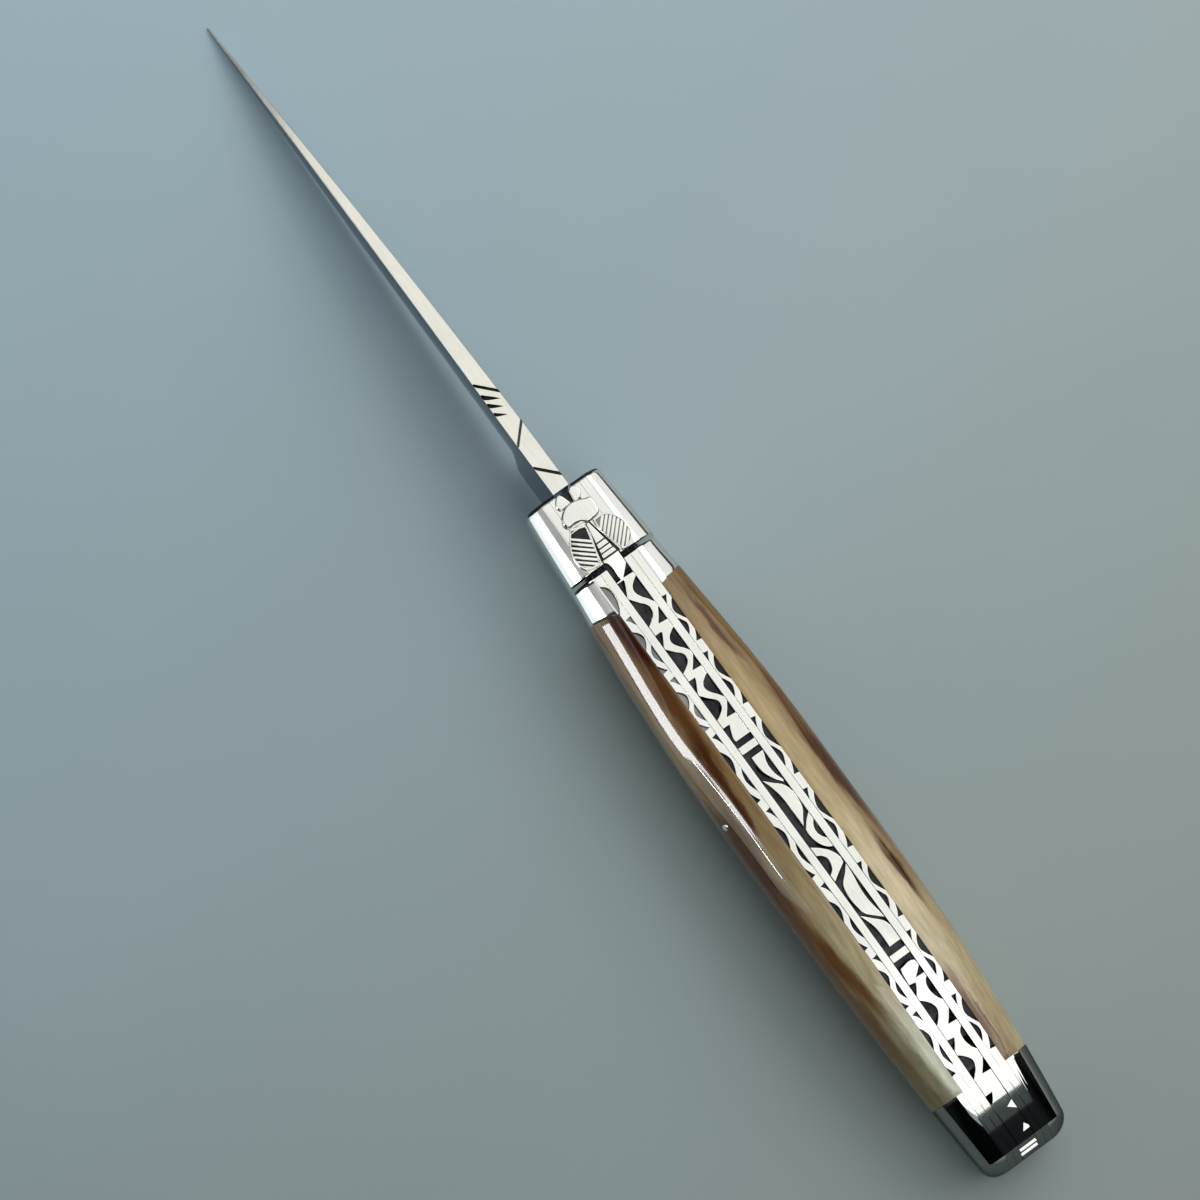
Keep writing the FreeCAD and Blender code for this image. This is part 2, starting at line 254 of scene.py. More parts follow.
# Point on the rounded flank: turn 0 is the top edge by the liner, 0.5 the widest line, 1 the bottom edge
def flankPoint(place, turn, shape):
    width, top, bottom = shape(place)
    inner = handle["stack"]
    sink = flank["sink"] + flank["sinkBehind"] * smoothStep(place, *flank["behind"])
    sink -= flank["sinkRear"] * smoothStep(place, *flank["rear"])
    middle = top - sink * (top - bottom)
    reach = inner + flank["reach"] * (width - inner)
    rise, drop = top - middle, middle - bottom
    if turn >= 0.5:
        lower = [(width, middle), (width, middle - flank["sideBelow"] * drop),
                 (reach, bottom + flank["footBelow"] * drop), (inner, bottom)]
        return Vector((-place, *bezierPoint(turn * 2 - 1, lower)))
    upper = [(inner, top), (reach, top - flank["topAbove"] * rise),
             (width, middle + flank["sideAbove"] * rise), (width, middle)]
    rounded = Vector(bezierPoint(turn * 2, upper))
    ends = [crownPoint(turn * 2, width, top, middle, arcs) for arcs in crowns.values()]
    boxy = ends[0].lerp(ends[1], smoothStep(place, *flank["hornArcs"]))
    return Vector((-place, *rounded.lerp(boxy, 1 - smoothStep(place, *flank["boxyEnd"]))))


# The front seam between bolster and horn runs forwards as it goes outwards
seam = {"place": 19.5, "inner": 0.5, "outer": -0.55, "fade": 5.0}


def seamShift(place, side):
    share = (side - handle["stack"]) / (widthAt(place) - handle["stack"])
    shift = seam["inner"] + (seam["outer"] - seam["inner"]) * min(1, max(0, share))
    return shift * smoothStep(1 - abs(place - seam["place"]) / seam["fade"])


def plainShape(place):
    return widthAt(place), spineAt(place), bellyAt(place)


def headShape(place):
    if place >= head["length"]:
        return plainShape(place)
    share = headShare(place)
    front = place < head["round"]
    overhang = head["overhang"] - head["taper"] * place
    out = overhang - head["frontInset"] * (1 - share) if front else overhang * share
    lift = head["frontLift"] * (1 - share) if front else 0
    return widthAt(place) + out, headTop(place), bellyAt(place) + lift


# Closed shell of one side of the handle: a grid laid on the flank, its rim drawn in to the liner and filled
def flankShell(name, places, rounds, shape, edge, sharp=50):
    steps = len(places) - 1
    bpy.ops.mesh.primitive_grid_add(x_subdivisions=steps, y_subdivisions=rounds, size=2)
    shell = bpy.context.object
    shell.name = name
    for vertex in shell.data.vertices:
        place = places[round((vertex.co.x + 1) / 2 * steps)]
        vertex.co = flankPoint(place, (vertex.co.y + 1) / 2, shape)
        vertex.co.x -= seamShift(place, vertex.co.y)
    enterEdit(shell, "DESELECT")
    bpy.ops.mesh.select_mode(type="EDGE")
    bpy.ops.mesh.select_non_manifold()
    bpy.ops.mesh.extrude_edges_move()
    leaveEdit()
    for vertex in shell.data.vertices:
        if vertex.select:
            vertex.co.y = handle["stack"]
    tidy(shell)
    enterEdit(shell, "DESELECT")
    bpy.ops.mesh.select_non_manifold()
    bpy.ops.mesh.edge_face_add()
    leaveEdit()
    tidy(shell)
    corner = math.radians(sharp)
    applyModifier(shell, "BEVEL", width=edge, segments=2, limit_method="ANGLE", angle_limit=corner)
    return shell


# Flat sheet cut to closed outlines of (place, across, smooth) knots, with rounded edges
def cutSheet(name, outlines, thickness, edge, rounds=2, curveSteps=6):
    bpy.ops.object.select_all(action="DESELECT")
    bpy.ops.curve.primitive_bezier_circle_add(radius=1)
    sheet = bpy.context.object
    sheet.name = name
    lines = sheet.data
    lines.splines.clear()
    lines.dimensions = "2D"
    lines.fill_mode = "BOTH"
    lines.resolution_u = curveSteps
    for outline in outlines:
        line = lines.splines.new("BEZIER")
        line.bezier_points.add(len(outline) - 1)
        line.use_cyclic_u = True
        for knot, (place, across, smooth) in zip(line.bezier_points, outline):
            knot.co = (-place, across, 0)
            knot.handle_left_type = knot.handle_right_type = "AUTO" if smooth else "VECTOR"
    lines.extrude = thickness / 2 - edge
    lines.bevel_depth = edge
    lines.bevel_resolution = rounds
    lines.offset = -edge
    pick(sheet)
    bpy.ops.object.convert(target="MESH")
    sheet = bpy.context.object
    tidy(sheet)
    return sheet


# Sheet laid along the handle, its top at a height that changes with the place
def laidSheet(name, outlines, thickness, edge, topAt, rounds=2):
    sheet = cutSheet(name, outlines, thickness, edge, rounds)
    # cut across every millimetre where the spine bends
    last = max(place for outline in outlines for place, side, smooth in outline)
    enterEdit(sheet)
    for place in range(round(handle["straight"]), math.ceil(last)):
        bpy.ops.mesh.select_all(action="SELECT")
        bpy.ops.mesh.bisect(plane_co=(-place, 0, 0), plane_no=(1, 0, 0))
    leaveEdit()
    for vertex in sheet.data.vertices:
        vertex.co.z += topAt(-vertex.co.x) - thickness / 2
    return sheet


# Plate cut from (place, height, smooth) knots, standing on edge at a side distance
def edgePlate(name, outlines, thickness, side, edge):
    plate = cutSheet(name, outlines, thickness, edge)
    placeAt(plate, (0, side, 0), (90, 0, 0))
    return plate


# Writes on every point how far down it lies between two heights, for painted shade on steel that changes
# with height
def noteShadeDepth(piece, heightsAt, least=0.01):
    drop = piece.data.attributes.new("drop", "FLOAT", "POINT")
    for vertex in piece.data.vertices:
        low, high = heightsAt(vertex.co.x)
        drop.data[vertex.index].value = (high - vertex.co.z) / max(least, high - low)


# finishes
def newMaterial(name):
    material = bpy.data.materials.new(name)
    material.use_nodes = True
    tree = material.node_tree
    return material, tree, tree.nodes["Principled BSDF"]


# Gives inputs of a node a constant, or the output of another node to follow
def feed(tree, node, inputs):
    for name, value in inputs.items():
        if isinstance(value, bpy.types.NodeSocket):
            tree.links.new(value, node.inputs[name])
        else:
            node.inputs[name].default_value = value


def addNode(tree, kind, inputs, **settings):
    node = tree.nodes.new("ShaderNode" + kind)
    for name, value in settings.items():
        setattr(node, name, value)
    feed(tree, node, inputs)
    return node


def addMath(tree, operation, *values):
    return addNode(tree, "Math", dict(enumerate(values)), operation=operation).outputs[0]


def addRange(tree, value, low, high, toLow=0, toHigh=1, easing="LINEAR"):
    inputs = {"Value": value, "From Min": low, "From Max": high, "To Min": toLow, "To Max": toHigh}
    return addNode(tree, "MapRange", inputs, interpolation_type=easing).outputs[0]


def addMix(tree, factor, first, second, blend="MIX"):
    node = addNode(tree, "Mix", {}, data_type="RGBA", blend_type=blend)
    feed(tree, node, {"Factor": factor, "A": first, "B": second})
    return node.outputs["Result"]


def addRamp(tree, value, stops):
    ramp = addNode(tree, "ValToRGB", {0: value})
    elements = ramp.color_ramp.elements
    elements.remove(elements[0])
    elements[0].position = stops[0][0]
    elements[0].color = (*stops[0][1], 1)
    for position, colour in stops[1:]:
        elements.new(position).color = (*colour, 1)
    return ramp.outputs[0]


# Noise drawn out by a scale along each axis
def stretchedNoise(tree, vector, stretch, detail, roughness=0.5):
    drawn = addNode(tree, "Mapping", {"Vector": vector, "Scale": stretch}).outputs[0]
    inputs = {"Vector": drawn, "Scale": 1, "Detail": detail, "Roughness": roughness}
    return addNode(tree, "TexNoise", inputs).outputs[0]


# A shader node group, with its inputs to read and its output node to feed
def newGroup(name, inputs, outputs):
    group = bpy.data.node_groups.new(name, "ShaderNodeTree")
    for socket in inputs:
        kind = "NodeSocketVector" if socket == "Vector" else "NodeSocketFloat"
        group.interface.new_socket(socket, in_out="INPUT", socket_type=kind)
    for socket in outputs:
        group.interface.new_socket(socket, in_out="OUTPUT", socket_type="NodeSocketFloat")
    given = group.nodes.new("NodeGroupInput").outputs
    return group, given, group.nodes.new("NodeGroupOutput")


# Shares of the patches and lines in the wear, the noise between which scratches set in, the wear between
# which tone and shine change, and the stretch in metres behind which the tail is smoother by a share
wear = {
    "patches": 0.6, "lines": 0.4, "scratches": (0.66, 0.74), "tone": (0.3, 0.62), "shine": (0.3, 0.7),
    "tail": (-0.094, -0.086), "tailShare": 0.3, "relief": 0.35,
}


# Fine polishing lines along the knife, with a few deeper scratches and soft patches of handling
def makePolishGroup():
    group, given, out = newGroup("polishLines", ("Vector", "Length", "Fineness"),
                                 ("Lines", "Scratches", "Patches"))
    length, fine = given["Length"], given["Fineness"]
    stretch = addNode(group, "CombineXYZ", {0: length, 1: fine, 2: fine}).outputs[0]
    drawn = addNode(group, "VectorMath", {0: given["Vector"], 1: stretch}, operation="MULTIPLY").outputs[0]
    lines = addNode(group, "TexNoise", {"Vector": drawn, "Scale": 1, "Detail": 3})
    deep = addNode(group, "TexNoise", {"Vector": drawn, "Scale": 0.45, "Detail": 1, "Distortion": 0.6})
    patches = addNode(group, "TexNoise", {"Vector": given["Vector"], "Scale": 180, "Detail": 4})
    feed(group, out, {
        "Lines": lines.outputs["Fac"],
        "Scratches": addRange(group, deep.outputs["Fac"], *wear["scratches"]),
        "Patches": patches.outputs["Fac"],
    })
    return group


polishGroup = makePolishGroup()


# Polished steel whose shine wanders along the polishing lines and is brightest at the tail; shade is a
# painted shade that darkens it by how far down the flank of the blade or the tail it is, and the glancing
# edge tint is lowered as painted shade
def makeSteel(name, tone, dull, rough, length, fineness, depth, shade=None, glancingShade=1):
    material, tree, shader = newMaterial(name)
    place = addNode(tree, "TexCoord", {}).outputs["Object"]
    polish = addNode(tree, "Group", {}, node_tree=polishGroup)
    feed(tree, polish, {"Vector": place, "Length": length, "Fineness": fineness})
    lines, scratches, patches = polish.outputs
    worn = addMath(tree, "MULTIPLY", lines, wear["lines"])
    worn = addMath(tree, "MULTIPLY_ADD", patches, wear["patches"], worn)
    colour = addRamp(tree, worn, list(zip(wear["tone"], (dull, tone))))
    if shade:
        drop = addNode(tree, "Attribute", {}, attribute_name="drop").outputs["Fac"]
        colour = addMix(tree, 1, colour, addRamp(tree, drop, shade), "MULTIPLY")
    along = addNode(tree, "SeparateXYZ", {0: place}).outputs[0]
    tail = addRange(tree, along, *wear["tail"], wear["tailShare"])
    shine = addRange(tree, worn, *wear["shine"], *rough)
    bump = addNode(tree, "Bump", {
        "Strength": addMath(tree, "MULTIPLY", tail, wear["relief"]),
        "Distance": depth,
        "Height": addMath(tree, "SUBTRACT", lines, scratches),
    })
    feed(tree, shader, {
        "Metallic": 1,
        "Specular Tint": (glancingShade, glancingShade, glancingShade, 1),
        "Base Color": colour,
        "Roughness": addMath(tree, "MULTIPLY", shine, tail),
        "Normal": bump.outputs[0],
    })
    return material


bright = {"tone": (0.80, 0.81, 0.79), "dull": (0.70, 0.71, 0.70)}
mirrorPolish = {"rough": (0.06, 0.13), "length": 120, "fineness": 2600, "depth": 0.000003}
steels = {
    "bolster": {**bright, **mirrorPolish},
    # tail: the lower flank of the rear bolsters is darkened by painted shade, and its glancing edge tint
    # too
    "tail": {**bright, **mirrorPolish, "glancingShade": 0.35,
             "shade": [(0.0, (1.0, 1.0, 1.0)), (0.03, (1.0, 1.0, 1.0)), (0.1, (0.36, 0.37, 0.37)),
                       (1.0, (0.44, 0.44, 0.44))]},
    # end: a dark steel that paints shade on the sloped end of the tail and on the pins behind the horn
    "end": {"tone": (0.30, 0.31, 0.305), "dull": (0.24, 0.25, 0.245), **mirrorPolish, "glancingShade": 0.35},
    "liner": {"tone": (0.87, 0.87, 0.83), "dull": (0.74, 0.75, 0.72), "rough": (0.09, 0.17),
              "length": 60, "fineness": 3600, "depth": 0.000004},
    "spring": {"tone": (0.86, 0.86, 0.81), "dull": (0.74, 0.75, 0.71), "rough": (0.09, 0.18),
               "length": 90, "fineness": 3200, "depth": 0.000004},
    # blade: its dark bluish tone, and the ramp that darkens it towards the back, are a painted reflection
    # of the shaded floor beside it
    "blade": {"tone": (0.30, 0.365, 0.43), "dull": (0.20, 0.25, 0.30), "rough": (0.12, 0.24),
              "length": 70, "fineness": 3000, "depth": 0.000006,
              "shade": [(0.0, (0.62, 0.66, 0.75)), (0.45, (0.8, 0.84, 0.9)), (1.0, (1.0, 1.0, 1.0))]},
    # the back of the blade: a lighter copy of the blade steel for the faces that look up, as painted light
    "litBladeBack": {"tone": (0.82, 0.80, 0.73), "dull": (0.70, 0.69, 0.63), "rough": (0.12, 0.22),
                  "length": 70, "fineness": 3000, "depth": 0.000005},
    "pin": {"tone": (0.86, 0.86, 0.84), "dull": (0.74, 0.74, 0.72), "rough": (0.14, 0.3),
            "length": 900, "fineness": 900, "depth": 0.000004},
    # filed: a grey steel that paints shade in the cuts of the blade, a sunk wing floor and the grey liner
    # pockets
    "filed": {"tone": (0.30, 0.30, 0.29), "dull": (0.12, 0.13, 0.135), "rough": (0.12, 0.3),
              "length": 500, "fineness": 1500, "depth": 0.00003},
    # recess: near-black steel; as painted shade it fills pockets, channels and walls, and it also marks the
    # seam of the rear bolsters
    "recess": {"tone": (0.05, 0.05, 0.054), "dull": (0.005, 0.006, 0.007), "rough": (0.14, 0.36),
               "length": 700, "fineness": 1100, "depth": 0.00008},
}
finish = {name: makeSteel(name + "Steel", **values) for name, values in steels.items()}


# Shares of a streak's size between which its pigment sets in
softEdge = (1.0, 0.25)


# One soft-edged streak of pigment in the horn, at a place along the handle and an angle round the flank
def makeStreakGroup():
    inputs = ("Along", "Round", "Place", "Turn", "Reach", "Breadth", "Slant")
    group, given, out = newGroup("hornStreak", inputs, ("Mask",))
    ahead = addMath(group, "SUBTRACT", given["Along"], given["Place"])
    aside = addMath(group, "SUBTRACT", given["Round"], given["Turn"])
    aside = addMath(group, "SUBTRACT", aside, addMath(group, "MULTIPLY", ahead, given["Slant"]))
    squares = []
    for gap, size in ((ahead, "Reach"), (aside, "Breadth")):
        share = addMath(group, "DIVIDE", gap, given[size])
        squares.append(addMath(group, "MULTIPLY", share, share))
    distance = addMath(group, "SQRT", addMath(group, "ADD", *squares))
    feed(group, out, {"Mask": addRange(group, distance, *softEdge, easing="SMOOTHSTEP")})
    return group


streakGroup = makeStreakGroup()

hornScale = {"front": seam["place"], "end": 106.3, "steps": 110, "rounds": 44, "edge": 0.07}

# Ramps run from the front of the scale to its rear, one by the liner and one on the outer side;
# each streak is (place, turn, reach, breadth, slant, strength, colour)
horns = {
    "left": {
        "along": [(0.0, (0.19, 0.09, 0.032)), (0.2, (0.25, 0.14, 0.053)), (0.42, (0.345, 0.24, 0.12)),
                  (0.62, (0.50, 0.41, 0.24)), (0.78, (0.62, 0.56, 0.37)), (0.89, (0.75, 0.78, 0.63)),
                  (1.0, (0.78, 0.81, 0.67))],
        "outer": [(0.0, (0.29, 0.21, 0.13)), (0.28, (0.36, 0.27, 0.165)), (0.42, (0.13, 0.075, 0.04)),
                  (0.62, (0.14, 0.065, 0.023)), (0.82, (0.17, 0.105, 0.04)), (1.0, (0.20, 0.17, 0.085))],
        "streaks": [
            (24, 0.60, 10, 0.17, 0.0, 1.0, (0.05, 0.0095, 0.002)),
            (36, 0.57, 9, 0.12, 0.0, 0.8, (0.115, 0.038, 0.009)),
            (46, 0.53, 9, 0.12, -0.004, 0.95, (0.085, 0.024, 0.005)),
            (54, 0.505, 9, 0.08, -0.005, 0.95, (0.075, 0.021, 0.005)),
            (62, 0.29, 14, 0.12, 0.004, 0.85, (0.08, 0.024, 0.008)),
            (82, 0.42, 17, 0.09, 0.006, 0.85, (0.15, 0.06, 0.014)),
            (93, 0.26, 9, 0.10, 0.0, 0.6, (0.15, 0.09, 0.03)),
            (100, 0.44, 14, 0.08, 0.0, 0.75, (0.27, 0.25, 0.155)),
        ],
    },
    "right": {
        "along": [(0.0, (0.31, 0.20, 0.085)), (0.2, (0.52, 0.38, 0.18)), (0.45, (0.61, 0.47, 0.25)),
                  (0.66, (0.80, 0.69, 0.45)), (0.82, (0.74, 0.65, 0.44)), (1.0, (0.41, 0.29, 0.18))],
        "outer": [(0.0, (0.25, 0.15, 0.06)), (0.22, (0.28, 0.17, 0.068)), (0.42, (0.18, 0.085, 0.03)),
                  (0.62, (0.38, 0.25, 0.12)), (0.8, (0.60, 0.48, 0.27)), (1.0, (0.60, 0.51, 0.32))],
        "streaks": [
            (29, 0.43, 10, 0.055, -0.002, 0.95, (0.12, 0.045, 0.010)),
            (44, 0.32, 9, 0.08, 0.0, 0.7, (0.15, 0.065, 0.02)),
            (57, 0.33, 13, 0.13, -0.003, 1.0, (0.095, 0.028, 0.004)),
            (73.5, 0.43, 9, 0.08, 0.0, 1.0, (0.085, 0.03, 0.004)),
            (98, 0.64, 12, 0.11, 0.0, 0.9, (0.20, 0.11, 0.065)),
            (100, 0.55, 11, 0.025, 0.0, 0.8, (0.15, 0.06, 0.018)),
        ],
    },
}

# Stretch of the clouds and the fibres, how far the clouds shift the colours along (mm) and round the flank,
# the height in metres about which the flank turns, and the turns between which the outer colours give way
hornLook = {
    "clouds": (95, 420, 420), "fibres": (190, 1500, 1500), "shiftAlong": 9, "shiftRound": 0.22,
    "middle": 0.0115, "outer": (0.56, 0.30), "rough": (0.3, 0.42),
    "grain": [(0.32, (0.80, 0.76, 0.70)), (0.68, (1.08, 1.07, 1.05))],
}


# Polished horn: long cloudy fibres, darker streaks, a clear glossy skin and fine lengthwise scratches
def makeHorn(name, look):
    material, tree, shader = newMaterial(name)
    place = addNode(tree, "TexCoord", {}).outputs["Object"]
    x, y, z = addNode(tree, "SeparateXYZ", {0: place}).outputs
    cloud = stretchedNoise(tree, place, hornLook["clouds"], 5, 0.6)
    fibre = stretchedNoise(tree, place, hornLook["fibres"], 4)
    drift = addMath(tree, "SUBTRACT", cloud, 0.5)
    # place along the handle in mm, and the angle round the flank as a share of a right angle
    along = addMath(tree, "MULTIPLY_ADD", x, -1 / bench["scale"], bench["ahead"])
    along = addMath(tree, "MULTIPLY_ADD", drift, hornLook["shiftAlong"], along)
    height = addMath(tree, "SUBTRACT", z, hornLook["middle"])
    turn = addMath(tree, "ARCTAN2", height, addMath(tree, "ABSOLUTE", y))
    turn = addMath(tree, "DIVIDE", turn, math.pi / 2)
    turn = addMath(tree, "MULTIPLY_ADD", drift, hornLook["shiftRound"], turn)
    share = addRange(tree, along, hornScale["front"], hornScale["end"])
    outwards = addRange(tree, turn, *hornLook["outer"], easing="SMOOTHSTEP")
    ramps = [addRamp(tree, share, look[name]) for name in ("along", "outer")]
    colour = addMix(tree, outwards, *ramps)
    for *sizes, strength, pigment in look["streaks"]:
        streak = addNode(tree, "Group", {}, node_tree=streakGroup)
        feed(tree, streak, {"Along": along, "Round": turn})
        feed(tree, streak, dict(zip(("Place", "Turn", "Reach", "Breadth", "Slant"), sizes)))
        stain = addMath(tree, "MULTIPLY", streak.outputs["Mask"], strength)
        colour = addMix(tree, stain, colour, (*pigment, 1))
    bump = addNode(tree, "Bump", {"Strength": 0.15, "Distance": 0.00001, "Height": fibre})
    feed(tree, shader, {
        "Base Color": addMix(tree, 1, colour, addRamp(tree, fibre, hornLook["grain"]), "MULTIPLY"),
        "Roughness": addRange(tree, fibre, 0, 1, *hornLook["rough"]),
        "Specular IOR Level": 0,
        "Coat Weight": 1,
        "Coat Roughness": 0.035,
        "Subsurface Weight": 0.12,
        "Subsurface Radius": (0.0016, 0.0009, 0.0005),
        "Normal": bump.outputs[0],
    })
    return material


for hand, look in horns.items():
    finish[hand + "Horn"] = makeHorn(hand + "Horn", look)
print("finishes made:", len(finish))

# horn scales
scalePlaces = spread(hornScale["front"], hornScale["end"], hornScale["steps"])
scaleLeft = flankShell("hornScaleLeft", scalePlaces, hornScale["rounds"], plainShape, hornScale["edge"])
for piece, hand in ((scaleLeft, "left"), (rightHand(scaleLeft, "hornScaleRight"), "right")):
    paint(piece, finish[hand + "Horn"])
    standUp(piece, ["horn_scale_" + hand], "handle")
print("horn scales made")


# Paints shade on the edge of the head that looks to the blade, in the near-black recess steel
def paintFrontShade(piece):
    def leading(face):
        return face.center.x > -head["round"] and face.normal.x > head["frontFacing"]
    paintFaces(piece, 1, leading)


tailEnd = {"from": 117.45, "leastBack": 0.15, "mostUp": 0.85}


# Paints shade on the sloped end of the tail with a given material, apart from the bright treads of the
# spring
def paintEndShade(piece, index):
    def sloped(face):
        back, up = -face.normal.x, face.normal.z
        return face.center.x < -tailEnd["from"] and back > tailEnd["leastBack"] and up < tailEnd["mostUp"]
    paintFaces(piece, index, sloped)


# bolsters: a raised head with a step down to a neck in front, a rounded tail behind;
# the level of the head is (from, to, count) of places
bolster = {
    "rounds": 44, "edge": 0.07, "rearEdge": 0.025, "level": (1.6, 12.6, 16), "stepCount": 7,
    "neckFrom": 14.2, "neckCount": 9, "rearTo": 117.3, "rearCount": 22, "tailCount": 14,
    "shadedTo": 116.5, "seamGap": 0.03,
}
roundedFront = [head["round"] * (1 - math.cos(turn)) for turn in spread(0, math.pi / 2, head["roundSteps"])]
frontPlaces = roundedFront + spread(*bolster["level"])
frontPlaces += spread(head["step"], head["length"], bolster["stepCount"])
frontPlaces += spread(bolster["neckFrom"], hornScale["front"], bolster["neckCount"])
frontLeft = flankShell("frontBolsterLeft", frontPlaces, bolster["rounds"], headShape, bolster["edge"])
rearPlaces = spread(hornScale["end"], bolster["rearTo"], bolster["rearCount"])
rearPlaces += tailPlaces(bolster["tailCount"])
rearLeft = flankShell("rearBolsterLeft", rearPlaces, bolster["rounds"], plainShape, bolster["rearEdge"])
# the lower flank of the rear bolsters takes painted shade
noteShadeDepth(rearLeft, lambda x: (bellyAt(-x), spineAt(min(-x, bolster["shadedTo"]))))
for left, name, node, look in ((frontLeft, "frontBolsterRight", "front_bolster", "bolster"),
                               (rearLeft, "rearBolsterRight", "rear_bolster", "tail")):
    for piece, hand in ((left, "_left"), (rightHand(left, name), "_right")):
        paint(piece, finish[look], finish["recess"])
        paintFrontShade(piece)
        paintFaces(piece, 1, lambda face: abs(face.center.x + hornScale["end"]) < bolster["seamGap"])
        standUp(piece, [node + hand], "handle")
print("bolsters made")

# liners: a plain inner plate and a filed outer plate on each side
liner = {
    "thickness": 1.2, "edge": 0.06, "smooth": 8, "topTo": 117.4, "topCount": 16, "bellyFrom": 0.9,
    "bellyCount": 60, "recess": 0.75, "filedFrom": 14.0, "filedTo": 106.6, "filedCount": 94,
    "filedMargin": 0.05, "sunkLeast": 0.1, "sunkMost": 1.2,
}
# corners of a wall that stands straight are this far apart along the handle
wall = 0.001


# Side outline of a liner, its top lowered between two places where filed work is laid on it
def linerOutline(recess):
    top = alongLine(roundedFront + [head["step"], head["length"]], headTop)
    if recess:
        top += alongLine([liner["filedFrom"]], spineAt)
    filedPlaces = spread(liner["filedFrom"], liner["filedTo"], liner["filedCount"])
    top += alongLine(filedPlaces, lambda place: spineAt(place) - recess)
    rear = spread(liner["filedTo"] + wall, liner["topTo"], liner["topCount"]) + tailPlaces()
    belly = spread(liner["bellyFrom"], liner["topTo"], liner["bellyCount"]) + tailPlaces()
    toe = (0, bellyAt(0) + head["frontLift"], 0)
    return top + alongLine(rear, spineAt) + alongLine(belly[::-1], bellyAt) + [toe]


innerSide = (handle["slot"] + handle["innerFace"]) / 2
outerSide = (handle["innerFace"] + handle["stack"]) / 2
innerLeft = edgePlate("innerLinerLeft", [linerOutline(0)], liner["thickness"], innerSide, liner["edge"])
for piece, hand in ((innerLeft, "left"), (rightHand(innerLeft, "innerLinerRight"), "right")):
    paint(piece, finish["liner"], finish["recess"], finish["end"])
    paintFrontShade(piece)
    paintEndShade(piece, 2)
    standUp(piece, ["inner_liner_" + hand], "handle", liner["smooth"])

# Places where each repeat of the filed wave starts, and one repeat as shares of its length
# and depths from the plate's own two edges; the pockets take grey painted shade up to a place, and are
# deeper there
linerWaves = {
    "Right": {
        "opening": [], "greyTo": 0,
        "starts": [21.6, 32.0, 43.9, 56.9, 70.3, 82.6, 94.0, 106.0],
        "inner": [(0, 0, 0), (0.01, 0.75, 0), (0.05, 0.45, 1), (0.13, 0, 0),
                  (0.38, 0, 0), (0.44, 0.4, 1), (0.53, 0.74, 1), (0.61, 0.42, 1), (0.67, 0, 0)],
        "outer": [(0.09, 0, 0), (0.16, 0.55, 1), (0.27, 0.92, 1), (0.36, 0.6, 1), (0.46, 0, 0),
                  (0.65, 0, 0), (0.74, 0.42, 1), (0.80, 0.84, 0), (0.812, 0, 0)],
    },
    "Left": {
        "opening": [(15.1, 3.93, 0), (15.9, 3.1, 1), (17.6, 2.88, 1), (19.2, 3.3, 1), (20.3, 3.93, 0)],
        "greyTo": 42.6,
        "starts": [21.3, 32.4, 42.8, 56.2, 69.8, 82.8, 92.8, 105.0],
        "inner": [(0, 0, 0), (0.015, 0.82, 0), (0.06, 0.4, 1), (0.15, 0, 0),
                  (0.47, 0, 0), (0.55, 0.42, 1), (0.62, 0.56, 1), (0.70, 0.36, 1), (0.78, 0, 0)],
        "outer": [(0.19, 0, 0), (0.26, 0.5, 1), (0.34, 0.72, 1), (0.42, 0.48, 1), (0.50, 0, 0),
                  (0.76, 0, 0), (0.83, 0.4, 1), (0.875, 0.7, 0), (0.885, 0, 0)],
    },
}
waveCut = {
    "margin": 0.02, "overlap": 0.2, "greyDepth": 1.35, "greyMargin": 1, "deepest": 0.95,
    "thickness": 1.0, "edge": 0.05,
}
# filed relief stops this far below the steel beside it
reliefGap = 0.006


# Top of an outer liner between its two edges, with the pockets of the wave filed in from both
def linerWaveOutline(wave):
    low, high = handle["innerFace"] + waveCut["margin"], handle["stack"] - waveCut["margin"]
    first, last = liner["filedFrom"] - waveCut["overlap"], liner["filedTo"] + waveCut["overlap"]
    inner, outer = [(first, low, 0)], [(first, high, 0)] + wave["opening"]
    for start, end in zip(wave["starts"], wave["starts"][1:]):
        deep = waveCut["greyDepth"] if start < wave["greyTo"] - waveCut["greyMargin"] else 1
        for edge, name, rim, inwards in ((inner, "inner", low, 1), (outer, "outer", high, -1)):
            for share, depth, smooth in wave[name]:
                reach = min(waveCut["deepest"], depth * deep)
                edge.append((start + (end - start) * share, rim + inwards * reach, smooth))
    return inner + [(last, low, 0), (last, high, 0)] + outer[::-1]


def waveTop(place):
    return spineAt(place) - reliefGap


# Whether a face lies in the lowered top of an outer liner
def inRecess(face):
    ahead, behind = liner["filedFrom"] - liner["filedMargin"], liner["filedTo"] + liner["filedMargin"]
    sunk = spineAt(-face.center.x) - face.center.z
    return ahead < -face.center.x < behind and liner["sunkLeast"] < sunk < liner["sunkMost"]


